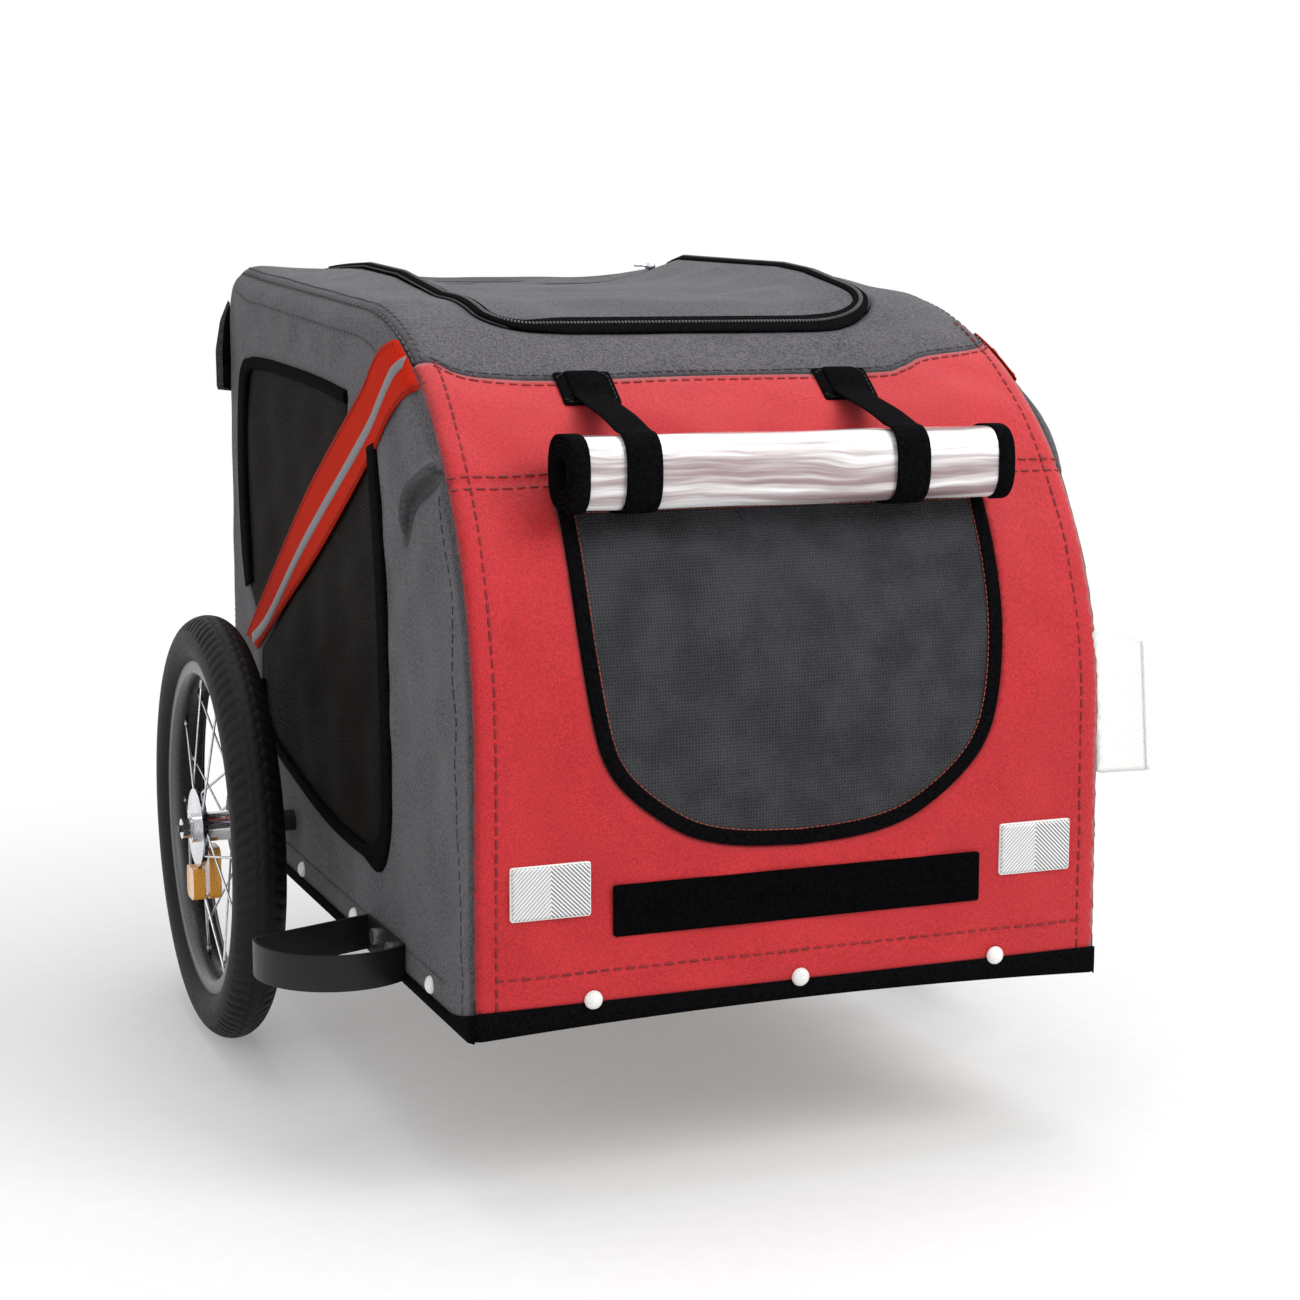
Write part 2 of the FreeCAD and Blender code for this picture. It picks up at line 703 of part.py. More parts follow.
eye_ends = [Vector(0, 0, -arm_eye_height / 2), Vector(0, 0, arm_eye_height / 2)]
arm = rod(eye_ends[0], eye_ends[1], arm_eye_r)
arm = arm.fuse(tube(Vector(0, 0, 0), Vector(0, arm_length, 0), arm_r, arm_r - arm_wall))
fork_half = coupler_plate_t / 2 + seat_gap
fork = block(Vector(-fork_half - coupler_fork_t, arm_length - arm_wall, -arm_r),
             Vector(fork_half + coupler_fork_t, arm_length + coupler_fork_length, arm_r))
fork = fork.cut(block(Vector(-fork_half, arm_length + coupler_fork_t, -arm_r - cut_over),
                      Vector(fork_half, arm_length + coupler_fork_length + cut_over, arm_r + cut_over)))
pin_y = arm_length + coupler_fork_length - arm_r
pin_ends = [Vector(-fork_half - coupler_fork_t, pin_y, 0), Vector(fork_half + coupler_fork_t, pin_y, 0)]
bore_ends = [pin_ends[0] - across * cut_over, pin_ends[1] + across * cut_over]
pin_bore = rod(bore_ends[0], bore_ends[1], coupler_pin_r + running_gap)
eye_bore = rod(eye_ends[0], eye_ends[1], arm_bolt_r + running_gap)
arm = arm.fuse(fork).removeSplitter().cut(eye_bore).cut(pin_bore)
coupler_plate = block(
    Vector(-coupler_plate_t / 2, pin_y - arm_r + coupler_fork_t, -arm_r),
    Vector(coupler_plate_t / 2, pin_y + coupler_plate_length, arm_r))
plate_ends = [edge for edge in coupler_plate.Edges if edge.BoundBox.XLength > coupler_plate_t / 2]
coupler_plate = coupler_plate.makeFillet(arm_r / 2, plate_ends)
bore_y = pin_y + coupler_plate_length - coupler_bore_back
coupler_plate = coupler_plate.cut(pin_bore).cut(
    rod(Vector(-cut_over, bore_y, 0), Vector(cut_over, bore_y, 0), coupler_bore_r))
pin_heads = [rod(pin_ends[0] - across * coupler_pin_head_t, pin_ends[0], coupler_pin_head_r),
             rod(pin_ends[1], pin_ends[1] + across * coupler_pin_head_t, coupler_pin_head_r)]
coupler_pin = rod(pin_ends[0], pin_ends[1], coupler_pin_r).fuse(pin_heads).removeSplitter()


# Rivets through the skirt and the walls into the rails

def rivet(seat, outward):
    """A domed head on the cloth with its shank in the rail."""
    dome_r = (rivet_head_r ** 2 + rivet_head_height ** 2) / (2 * rivet_head_height)
    ball = Part.makeSphere(dome_r, seat + outward * (rivet_head_height - dome_r))
    head = ball.common(rod(seat, seat + outward * (rivet_head_height + dome_r), rivet_head_r + seat_gap))
    shank = rod(seat - outward * (cloth_t + 2 * seat_gap + rail_wall), seat, rivet_shank_r)
    return head.fuse(shank).removeSplitter()


def rivet_hole(seat, outward):
    depth = cloth_t + rail_size / 2
    return rod(seat - outward * depth, seat + outward * rivet_head_height, rivet_shank_r + rivet_hole_gap)


rivet_seats = []
for x in (-rivet_front_spacing, 0, rivet_front_spacing):
    rivet_seats.append((Vector(x, front_y, rivet_front_z), Vector(0, -1, 0)))
    rivet_seats.append((Vector(x, rear_y, rivet_front_z), Vector(0, 1, 0)))
side_tilt = FreeCAD.Rotation(side_axis, side_lean_deg)
for share in rivet_side_shares:
    seat_x = -half_width + (rivet_side_z - skirt_foot_z) * lean
    seat = Vector(seat_x, front_y + share * cabin_length, rivet_side_z)
    rivet_seats.append((seat, side_tilt.multVec(Vector(-1, 0, 0))))
    twin = Vector(-seat.x, seat.y, seat.z)
    rivet_seats.append((twin, side_tilt.inverted().multVec(Vector(1, 0, 0))))
rivets = [rivet(seat, outward) for seat, outward in rivet_seats]
rivet_holes = [rivet_hole(seat, outward) for seat, outward in rivet_seats]

# Rain cover roll with bound ends, straps and patches
roll_y = front_y + roll_setback
roll_ends = [Vector(-roll_half_length, roll_y, roll_z), Vector(roll_half_length, roll_y, roll_z)]
inner_ends = [roll_ends[0] + across * roll_binding_length, roll_ends[1] - across * roll_binding_length]
cover_roll = tube(inner_ends[0], inner_ends[1], roll_r, roll_r - roll_wall)
roll_bindings = [
    tube(roll_ends[0], inner_ends[0], roll_r + roll_binding_t, roll_r - roll_wall - roll_binding_t),
    tube(inner_ends[1], roll_ends[1], roll_r + roll_binding_t, roll_r - roll_wall - roll_binding_t)]


def roll_strap(x):
    """A flat strap from its patch on the panel, over the front of the roll and under it."""
    middle = Vector(0, roll_y, roll_z)
    wrap_r = roll_r + seat_gap + strap_t / 2
    start = polar(bow_centre, front_bow_r + trim_t + seat_gap + strap_t / 2, patch_deg)
    away = start - middle
    heading = math.degrees(math.atan2(away.z, away.y))
    touch_deg = heading + math.degrees(math.acos(wrap_r / away.Length))

    def on_roll(deg):
        angle = math.radians(deg)
        return middle + Vector(0, wrap_r * math.cos(angle), wrap_r * math.sin(angle))

    path = Part.Wire([
        Part.LineSegment(start, on_roll(touch_deg)).toShape(),
        Part.Arc(on_roll(touch_deg), on_roll((touch_deg + strap_end_deg) / 2),
                 on_roll(strap_end_deg)).toShape()])
    run = (on_roll(touch_deg) - start).normalize()
    flat = Vector(0, -run.z, run.y) * (strap_t / 2)
    half = across * (strap_width / 2)
    section = Part.makePolygon([
        start + flat - half, start + flat + half, start - flat + half,
        start - flat - half, start + flat - half])
    strap = path.makePipeShell([section], True, False)
    strap.translate(across * x)
    return strap


straps = [roll_strap(x) for x in strap_places]
patch_skin = profile_prism(-trim_t, front_foot_z).cut(profile_prism(0, front_foot_z - cut_over))
patch_low = polar(bow_centre, front_bow_r, patch_deg - patch_arc_deg)
patch_high = polar(bow_centre, front_bow_r, patch_deg + patch_arc_deg)
patches = [
    patch_skin.common(block(
        Vector(x - patch_width / 2, front_y, patch_low.z), Vector(x + patch_width / 2, 0, patch_high.z)))
    for x in strap_places]

# Flat trim on the front panel and the tag on the right wall
reflector = block(
    Vector(-reflector_inner_x - reflector_width, front_y - reflector_t, reflector_foot_z),
    Vector(-reflector_inner_x, front_y, reflector_foot_z + reflector_height))
reflector_edges = [edge for edge in reflector.Edges if edge.BoundBox.YMax < front_y - reflector_t / 2]
reflector = reflector.makeChamfer(reflector_t / 3, reflector_edges)
fastening_strip = block(
    Vector(-fastening_strip_half_length, front_y - fastening_strip_t, fastening_strip_foot_z),
    Vector(fastening_strip_half_length, front_y, fastening_strip_foot_z + fastening_strip_height))
tag_x = half_width - (tag_foot_z - skirt_foot_z) * lean
side_tag = block(Vector(tag_x, front_y + tag_setback, tag_foot_z),
                 Vector(tag_x + tag_length, front_y + tag_setback + tag_t, tag_foot_z + tag_height))

# Walls and rails with their holes
foot_holes = rivet_holes + pairs(guard_holes)
left_wall = on_left(side_wall).cut(receiver_hole).cut(foot_holes)
right_wall = mirrored(on_left(side_wall)).cut(mirrored(receiver_hole)).cut(foot_holes)

save("base_side_rails", [rail.cut(foot_holes) for rail in side_rails])
save("base_cross_rails", [rail.cut(rivet_holes) for rail in cross_rails])
save("floor_board", [floor_board.cut(spigots).cut(pair(left_hoop))])
save("hoop_spigots", spigots)
save("side_hoop_left", [left_hoop])
save("side_hoop_right", [mirrored(left_hoop)])
save("roof_bars", [front_bar, rear_bar])
save("front_panel", [front_panel.cut(rivet_holes)])
save("rear_panel", [rear_panel.cut(rivet_holes)])
save("roof_panel", [roof_panel])
save("side_wall_left", [left_wall])
save("side_wall_right", [right_wall])
save("side_meshes", pairs([on_left(mesh) for mesh in side_mesh]))
save("side_bindings", pairs([on_left(piece) for piece in side_binding]))
save("diagonal_bands", pair(on_left(diagonal_band)))
save("diagonal_tapes", pair(on_left(diagonal_tape)))
save("base_skirt", [piece.cut(foot_holes) for piece in skirt])
save("foot_rivets", rivets)
save("front_door_binding", [door_binding])
save("front_door_mesh", [door_mesh])
save("roof_hatch", [hatch_panel])
save("roof_hatch_zip_tape", [hatch_tape])
save("roof_hatch_zip_slider", [zip_slider])
save("rain_cover_roll", [cover_roll])
save("rain_cover_end_bindings", roll_bindings)
save("rain_cover_straps", straps)
save("strap_patches", patches)
save("front_reflectors", pair(reflector))
save("cover_fastening_strip", [fastening_strip])
save("side_tag", [side_tag])
save("axle_blocks", pair(axle_block))
save("axle_receivers", pair(receiver))
save("stub_axles", pair(stub_axle))
for name, shapes in (
        ("axle_button", [button]), ("hub", [hub]), ("hub_bearings", bearings), ("spokes", spokes),
        ("rim", [rim]), ("tyre", [tyre]), ("inner_tube", [inner_tube]), ("spoke_reflector", [lens]),
        ("wheel_guard", [guard])):
    save(name + "_left", shapes)
    save(name + "_right", [mirrored(shape) for shape in shapes])
save("guard_bolts", pairs(guard_bolts))
save("hitch_bracket", [bracket])
save("tow_arm_bolt", [arm_bolt])
save("tow_arm_nut", [arm_nut])
save("tow_arm", [arm_piece(arm)])
save("coupler_plate", [arm_piece(coupler_plate)])
save("coupler_pin", [arm_piece(coupler_pin)])
print(len(written), "nodes")
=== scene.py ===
import json
import math
import bmesh
import bpy
import numpy as np
from mathutils import Matrix, Vector
from mathutils.geometry import delaunay_2d_cdt


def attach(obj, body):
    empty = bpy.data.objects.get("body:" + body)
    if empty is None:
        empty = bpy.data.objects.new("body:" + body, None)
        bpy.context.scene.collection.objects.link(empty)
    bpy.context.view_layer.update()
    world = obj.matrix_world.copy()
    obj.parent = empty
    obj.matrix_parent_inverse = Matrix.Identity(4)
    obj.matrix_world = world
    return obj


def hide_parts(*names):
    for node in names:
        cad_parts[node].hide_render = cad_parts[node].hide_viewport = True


# Looks of the dog bike trailer. Shapes are drawn in millimetres and stored in metres, in the CAD frame:
# X to the right seen from the front, Y from the front to the rear, Z up.
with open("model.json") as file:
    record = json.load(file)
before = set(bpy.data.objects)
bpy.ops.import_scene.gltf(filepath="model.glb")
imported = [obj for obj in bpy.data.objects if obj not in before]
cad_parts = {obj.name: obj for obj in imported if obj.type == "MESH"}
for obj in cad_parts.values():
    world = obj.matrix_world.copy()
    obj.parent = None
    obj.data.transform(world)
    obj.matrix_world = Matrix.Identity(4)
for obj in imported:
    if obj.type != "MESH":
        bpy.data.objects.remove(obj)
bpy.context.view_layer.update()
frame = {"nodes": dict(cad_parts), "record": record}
MM = 0.001
SEED = 7


# Materials

def srgb(code):
    """An sRGB hex colour as linear light."""
    parts = [int(code[at:at + 2], 16) / 255 for at in (0, 2, 4)]
    return tuple(c / 12.92 if c <= 0.04045 else ((c + 0.055) / 1.055) ** 2.4 for c in parts) + (1.0,)


def add(tree, kind, props=None, sockets=None):
    """Adds one node with its settings; a socket given another socket is linked to it."""
    made = tree.nodes.new(kind)
    for key, value in (props or {}).items():
        setattr(made, key, value)
    for key, value in (sockets or {}).items():
        if isinstance(value, bpy.types.NodeSocket):
            tree.links.new(value, made.inputs[key])
        else:
            made.inputs[key].default_value = value
    return made


class Look:
    """The node tree of a material or the world; its patterns have real sizes in millimetres."""

    def __init__(self, owner):
        self.owner = owner
        owner.use_nodes = True
        self.tree = owner.node_tree
        self.tree.nodes.clear()

    def node(self, kind, props=None, sockets=None, out=0):
        return add(self.tree, "ShaderNode" + kind, props, sockets).outputs[out]

    def done(self, shader, kind="ShaderNodeOutputMaterial"):
        add(self.tree, kind, None, {"Surface": shader})
        return self.owner

    def cloth(self):
        """Thread directions, with the distance to the nearest seam as third value, which sets the painted
        shade.
        """
        return self.node("Attribute", {"attribute_name": "cloth"}, out="Vector")

    def place(self):
        """Object coordinates."""
        at = self.node("TexCoord", out="Object")
        return self.node("VectorMath", {"operation": "SCALE"}, {0: at, "Scale": 1 / MM})

    def split(self, vector):
        return add(self.tree, "ShaderNodeSeparateXYZ", None, {0: vector}).outputs

    def noise(self, vector, sizes, detail=2.0, rough=0.5):
        """Noise with grains of the given size, or of a size along each direction."""
        sizes = sizes if np.ndim(sizes) else (sizes,) * 3
        fitted = self.node("VectorMath", {"operation": "DIVIDE"}, {0: vector, 1: sizes})
        return self.node("TexNoise", None, {
            "Vector": fitted, "Scale": 1.0, "Detail": detail, "Roughness": rough})

    def ramp(self, value, low, high, start=0.0, end=1.0):
        return self.node("MapRange", {"interpolation_type": "SMOOTHSTEP"}, {
            "Value": value, "From Min": low, "From Max": high, "To Min": start, "To Max": end})

    def math(self, operation, first, second=0.0):
        return self.node("Math", {"operation": operation}, {0: first, 1: second})

    def mix(self, factor, first, second):
        """Two colours mixed, each a hex code or a socket."""
        first, second = (srgb(given) if isinstance(given, str) else given for given in (first, second))
        return self.node("Mix", {"data_type": "RGBA"}, {0: factor, 6: first, 7: second}, out=2)

    def bump(self, height, depth):
        return self.node("Bump", None, {"Height": height, "Distance": depth * MM, "Strength": 1.0})

    def surface(self, sockets):
        return self.node("BsdfPrincipled", None, sockets)

    def see_through(self, cover, shader, tint="ffffff"):
        """The shader where it covers, clear elsewhere."""
        clear = self.node("BsdfTransparent", None, {"Color": srgb(tint)})
        return self.node("MixShader", None, {0: cover, 1: clear, 2: shader})


COMMON = (0.3, 0.7)      # a noise has most of its values in this span
SEAM_SHADE_REACH = 7.0         # mm beside a seam that get painted shade
CREASE_SHADE_REACH = 4.0       # mm beside a crease that get painted shade
STREAK = 5               # length of a fibre streak in threads
SLACK_LENGTH = 50.0      # pattern size along a direction that doesn't count


def woven(name, dark, light, thread, depth, rough, sheen=0.0, blotch=0.0, seam=0.35, shine=0.25):
    """Cloth of short streaks along both thread directions, with painted shade, as strong as seam, in the last
    few mm before a seam and beside a crease.
    """
    look = Look(bpy.data.materials.new(name))
    vector = look.cloth()
    along = look.noise(vector, (thread * STREAK, thread, SLACK_LENGTH))
    across = look.noise(vector, (thread, thread * STREAK, SLACK_LENGTH))
    fibre = look.ramp(look.math("ADD", along, across), 0.72, 1.28)
    large = look.noise(vector, 90.0)
    tone = look.math("ADD", fibre, look.ramp(large, *COMMON, -blotch, blotch))
    edge = look.split(vector)[2]
    # Painted shade: the colour goes towards near black beside seams and creases.
    shade = look.math("ADD", look.ramp(edge, 0.0, SEAM_SHADE_REACH, seam, 0.0),
                      look.ramp(edge, -CREASE_SHADE_REACH, -1.0, 0.45, 0.0))
    return look.done(look.surface({
        "Base Color": look.mix(shade, look.mix(tone, dark, light), "0c0c0d"), "Roughness": rough,
        "Sheen Weight": sheen, "Sheen Roughness": 0.5, "Specular IOR Level": shine,
        "Normal": look.bump(fibre, depth)}))


def hard(name, dark, light, grain, rough, metal=0.0, coat=0.0, depth=0.02, rough_span=0.08, shine=0.5):
    """A hard surface with a fine grain in colour, gloss and relief."""
    look = Look(bpy.data.materials.new(name))
    speck = look.noise(look.place(), grain, 3.0)
    soft = look.noise(look.place(), 60.0)
    return look.done(look.surface({
        "Base Color": look.mix(look.ramp(look.math("ADD", speck, soft), 0.7, 1.3), dark, light),
        "Roughness": look.ramp(speck, *COMMON, rough - rough_span, rough + rough_span),
        "Metallic": metal, "Coat Weight": coat, "Specular IOR Level": shine,
        "Normal": look.bump(speck, depth)}))


def open_mesh(name, pitch, thread, dark, light, least):
    """Knitted mesh: threads on a square grid, thinner between them down to the least cover."""
    look = Look(bpy.data.materials.new(name))
    vector = look.cloth()
    rows = []
    for run in look.split(vector)[:2]:
        phase = look.math("FRACT", look.math("DIVIDE", run, pitch))
        away = look.math("ABSOLUTE", look.math("SUBTRACT", phase, 0.5))
        rows.append(look.ramp(away, 0.5 - thread / pitch, 0.5))
    solid = look.math("MAXIMUM", *rows)
    tone = look.noise(vector, 40.0)
    knit = look.surface({
        "Base Color": look.mix(look.ramp(tone, *COMMON, 0.25, 0.75), dark, light), "Roughness": 0.7,
        "Specular IOR Level": 0.05, "Normal": look.bump(solid, 0.1)})
    return look.done(look.see_through(look.ramp(solid, 0.0, 1.0, least, 1.0), knit))


def clear_film(name):
    """Soft clear film, rolled: long swaying white streaks painted in as reflections over a rosy grey body, a
    little seen through.
    """
    look = Look(bpy.data.materials.new(name))
    vector = look.cloth()
    sway = look.noise(vector, (130.0, 60.0, SLACK_LENGTH))
    lift = look.node("CombineXYZ", None, {1: look.math("MULTIPLY", sway, 26.0)})
    bent = look.node("VectorMath", {"operation": "ADD"}, {0: vector, 1: lift})
    streak = look.noise(bent, (380.0, 15.0, SLACK_LENGTH), 5.0, 0.62)
    # Painted reflections: the base colour turns white along the streaks.
    body = look.surface({
        "Base Color": look.mix(look.ramp(streak, 0.34, 0.62), "a08688", "ffffff"), "Roughness": 0.14,
        "Coat Weight": 0.6, "Coat Roughness": 0.05, "Normal": look.bump(streak, 1.2)})
    return look.done(look.see_through(look.ramp(streak, 0.35, 0.60, 0.70, 0.98), body, "f6eeee"))


def prism_plate(name, dark, light, cell):
    """Moulded reflector: crossing rows of small prisms under a clear face."""
    look = Look(bpy.data.materials.new(name))
    place = look.place()
    rows = []
    for turn in (0.785, -0.785):
        spun = look.node("VectorRotate", {"rotation_type": "Y_AXIS"}, {"Vector": place, "Angle": turn})
        rows.append(look.node("TexWave", {"wave_type": "BANDS", "bands_direction": "X"},
                              {"Vector": spun, "Scale": 0.314 / cell, "Distortion": 0.0}, out=1))
    lattice = look.math("MULTIPLY", *rows)
    return look.done(look.surface({
        "Base Color": look.mix(lattice, dark, light), "Roughness": 0.2, "Coat Weight": 0.8,
        "Coat Roughness": 0.06, "Normal": look.bump(lattice, 0.5)}))


def hatched_plate(name, middle):
    """Moulded silver reflector: fine slanting ribs that turn at its middle, one half painted lighter as light
    and the other darker as shade.
    """
    look = Look(bpy.data.materials.new(name))
    across, up = look.split(look.cloth())[:2]
    away = look.math("SUBTRACT", across, look.math("MULTIPLY", look.math("SIGN", across), middle))
    slant = look.math("ADD", look.math("ABSOLUTE", away), up)
    rib = look.ramp(look.math("PINGPONG", slant, 1.7), 0.3, 1.4)
    # Painted light and shade: the left half lighter, the right half darker.
    shade = look.mix(look.ramp(away, -1.0, 1.0), "a9aaad", "6f7073")
    return look.done(look.surface({
        "Base Color": look.mix(rib, shade, "f4f4f5"), "Roughness": 0.28, "Coat Weight": 0.5,
        "Coat Roughness": 0.08, "Normal": look.bump(rib, 0.4)}))


def two_tone_rim(name):
    """Black channel with a light machined side ring, chosen by the vertex value bare."""
    look = Look(bpy.data.materials.new(name))
    bare = look.node("Attribute", {"attribute_name": "bare"}, out="Fac")
    grain = look.noise(look.place(), (30.0, 1.2, 1.2), 3.0)
    return look.done(look.surface({
        "Base Color": look.mix(bare, "151516", look.mix(grain, "4a4a4b", "6c6c6e")),
        "Roughness": look.ramp(grain, *COMMON, 0.24, 0.4), "Metallic": look.math("MULTIPLY", bare, 0.6)}))


# Red oxford of the front: dense weave with pale flecks and a faint sheen.
RED = woven("red_oxford", "a3121a", "c9282f", 0.55, 0.10, 0.62, sheen=0.25, blotch=0.12, seam=0.28)
# Red of the bands: closer weave, more orange and without the flecks.
BAND_RED = woven("red_band_weave", "b01c06", "cf2b0e", 0.5, 0.06, 0.75, seam=0.25, shine=0.05)
# Grey melange oxford: light and dark fibres mixed, which gives the speckled grey of roof and sides.
GREY = woven("grey_oxford", "2c2a2e", "656267", 0.65, 0.10, 0.72, 0.10, 0.08, 0.34, 0.15)
# Black webbing and binding tape: ribbed weave, dull.
WEBBING = woven("black_webbing", "050506", "111113", 0.9, 0.14, 0.8, seam=0.0, shine=0.01)
# Black loop tape of the fastening strip: deeper and fuzzier than webbing.
LOOP = woven("black_loop_tape", "040405", "0b0b0d", 1.1, 0.4, 0.95, seam=0.0, shine=0.02)
# Grey reflective tape on the bands: smooth, a little brighter than the cloth.
TAPE = woven("grey_tape", "6a696d", "858489", 0.5, 0.05, 0.5, seam=0.15)
# Bare white tag: close satin weave.
TAG = woven("white_tag", "e6e6e4", "f6f6f4", 0.5, 0.03, 0.6, seam=0.10)
# Sewing threads, a shade darker than the cloth they sit on, thick enough to show as dashes.
THREAD_RED, THREAD_GREY, THREAD_DARK, THREAD_RUST = (
    hard(shade + "_thread", dark, light, 0.6, 0.7, depth=0.05) for shade, dark, light in (
        ("red", "5f0a0e", "8c151a"), ("grey", "2c2b2f", "4b4a4f"), ("dark", "070708", "161618"),
        ("rust", "6f2414", "a8452a")))
# Mesh of the door: dark blue grey, its grid just readable. Mesh of the windows: closer, and a brown black, less
# see-through copy of it whose darkness is painted shade.
MESH = open_mesh("door_mesh_knit", 2.6, 0.9, "2e2f31", "47484b", 0.66)
SHADED_SIDE_MESH = open_mesh("shaded_window_mesh_knit", 2.2, 0.7, "0d0a08", "17130f", 0.86)
# Clear film of the rolled rain cover: glossy, with painted white reflections over a darker rosy grey.
FILM = clear_film("clear_pvc")
# Powder-coated steel: black satin, slightly pebbled.
COATED = hard("coated_steel", "0c0c0d", "1a1a1c", 1.5, 0.42, depth=0.05, shine=0.3)
# Zinc-plated steel: dull silver.
ZINC = hard("zinc_steel", "8a8c90", "bcbec2", 2.0, 0.36, metal=1.0)
# Chrome of spokes, hub and axle ends: bright and sharp.
CHROME = hard("chrome", "b9bbbf", "e6e7ea", 3.0, 0.14, metal=1.0, rough_span=0.05)
# Rim: black paint with a satin ring of bare metal on each side.
RIM = two_tone_rim("rim_metal")
# Tyre rubber: black with a soft shine and a dusty grain. Inner tube: duller black.
TYRE = hard("tyre_rubber", "080808", "121110", 2.5, 0.6, depth=0.06, shine=0.22)
TUBE = hard("tube_rubber", "101011", "1c1c1d", 2.0, 0.6)
# Reflectors: amber prisms in the spokes, silver ribs on the front.
AMBER = prism_plate("amber_plastic", "ff9d12", "ffdf66", 2.2)
REFLECTOR_X = 209.5
SILVER = hatched_plate("silver_reflector", REFLECTOR_X)
# Moulded plastics: glossy white rivet heads, satin black buttons.
WHITE = hard("white_plastic", "dededb", "f7f7f5", 1.5, 0.3, coat=0.3)
BLACK = hard("black_plastic", "0d0d0e", "1c1c1e", 1.2, 0.42, depth=0.04)
# Zip teeth: dull grey coils that catch a thin line of light.
COIL = hard("zip_coil", "262628", "515155", 1.0, 0.45, depth=0.03)
# Coated plywood of the floor: warm brown with a coarse grain.
PLY = hard("floor_ply", "6b4a2c", "96703f", 4.0, 0.55, depth=0.08)


# Cabin surfaces: one side profile by arc length, drawn across the width with rounded shoulders

FRONT, REAR, FOOT = -410.0, 410.0, 139.0
HALF_WIDTH, LEAN = 272.5, math.tan(math.radians(0.3))
BOW_R, BOW_Z, BOW_DEG = 340.0, 360.0, 50.0
CROWN_R, ROOF_DEG, CORNER_R = 330.0, 86.7, 45.0
SEAM_SHARE = 0.293       # half way round a quarter turn, as a share of its radius
MOST_TURN = 0.98         # how far round the shoulder the cloth is followed


def polar(centre, radius, deg):
    """A point on a profile arc: 0 faces the front, 90 faces up, 180 faces the rear."""
    angle = np.radians(deg)
    return np.stack([centre[0] - radius * np.cos(angle), centre[1] + radius * np.sin(angle)], -1)


def arc(centre, radius, low, high, count):
    degs = np.linspace(low, high, count)
    return polar(centre, radius, degs), degs


def straight(start, end, deg, count):
    return np.linspace(start, end, count), np.full(count, deg)


def run_length(path):
    """The length along a path up to each of its points."""
    return np.concatenate([[0], np.cumsum(np.linalg.norm(np.diff(path, axis=0), axis=1))])


BOW = (FRONT + BOW_R, BOW_Z)
CROWN = polar(BOW, BOW_R - CROWN_R, BOW_DEG)
CORNER_RUN = (REAR - CORNER_R - CROWN[0]) * math.cos(math.radians(ROOF_DEG))
CORNER = (REAR - CORNER_R,
          CROWN[1] + (CROWN_R - CORNER_R + CORNER_RUN) / math.sin(math.radians(ROOF_DEG)))
STEPS = [
    straight((FRONT, FOOT), (FRONT, BOW_Z), 0.0, 111),
    arc(BOW, BOW_R, 0, BOW_DEG, 151),
    arc(CROWN, CROWN_R, BOW_DEG, ROOF_DEG, 111),
    straight(polar(CROWN, CROWN_R, ROOF_DEG), polar(CORNER, CORNER_R, ROOF_DEG), ROOF_DEG, 231),
    arc(CORNER, CORNER_R, ROOF_DEG, 180, 41),
    straight((REAR, CORNER[1]), (REAR, FOOT), 180.0, 271)]
LINE, LINE_DEG = (
    np.concatenate([step[part][int(at > 0):] for at, step in enumerate(STEPS)]) for part in (0, 1))
LINE_S = run_length(LINE)
ENDS = LINE_S[np.cumsum([len(degs) - 1 for _, degs in STEPS])]
S_BOW, _, S_ROOF, S_CORNER, S_REAR, S_END = ENDS


def profile(s):
    """The depth and height of the profile at an arc length."""
    return np.interp(s, LINE_S, LINE[:, 0]), np.interp(s, LINE_S, LINE[:, 1])


def nearest(points, path, chunk=2000):
    """Squared distance from each point to the nearest sample of a path, and that sample's number."""
    far, at = np.empty(len(points)), np.empty(len(points), int)
    for start in range(0, len(points), chunk):
        gaps = ((points[start:start + chunk, None, :] - path[None]) ** 2).sum(-1)
        far[start:start + chunk], at[start:start + chunk] = gaps.min(1), gaps.argmin(1)
    return far, at


def s_front(z):
    """Arc length where the front reaches height z."""
    rising = LINE_S <= S_ROOF
    return np.interp(z, LINE[rising, 1], LINE_S[rising])


def s_roof(y):
    """Arc length where the roof reaches the depth y."""
    level = (LINE_S >= S_BOW) & (LINE_S <= S_REAR)
    return np.interp(y, LINE[level, 0], LINE_S[level])


def shoulder(s):
    """Radius of the rounding between the band and the side wall."""
    return np.interp(s, [0, 300, 470, 640, S_CORNER - 60, S_REAR, S_END], [9, 9, 16, 30, 30, 16, 10])


def half(z):
    """Half the cabin's width at a height; the walls lean in a little."""
    return HALF_WIDTH - (z - FOOT) * LEAN


def stack3(x, y, z):
    return np.stack(np.broadcast_arrays(x, y, z), -1)


def floats(first, second):
    return np.broadcast_arrays(np.asarray(first, float), np.asarray(second, float))


def on_band(x, s, out=0.0):
    """A point of the cloth over front, roof and rear: x across, s along the profile, out proud of it."""
    x, s = floats(x, s)
    y, z = profile(s)
    angle = np.radians(np.interp(s, LINE_S, LINE_DEG))
    r = shoulder(s)
    over = np.clip(np.abs(x) - (half(z) - r), 0, r * MOST_TURN)
    slope = over / r
    level = np.sqrt(1 - slope ** 2)
    drop = r - r * level
    rise = level * out - drop
    return stack3(x + np.sign(x) * slope * out, y - np.cos(angle) * rise, z + np.sin(angle) * rise)


def seam_x(s):
    """Where the band meets the side wall, half way round the shoulder."""
    return half(profile(s)[1]) - SEAM_SHARE * shoulder(s)


def inset(y, z):
    """Distance to the profile and the arc length of the nearest place on it."""
    far, at = nearest(np.stack([np.ravel(y), np.ravel(z)], -1), LINE[::2])
    return np.sqrt(far).reshape(np.shape(y)), 2 * at.reshape(np.shape(y))


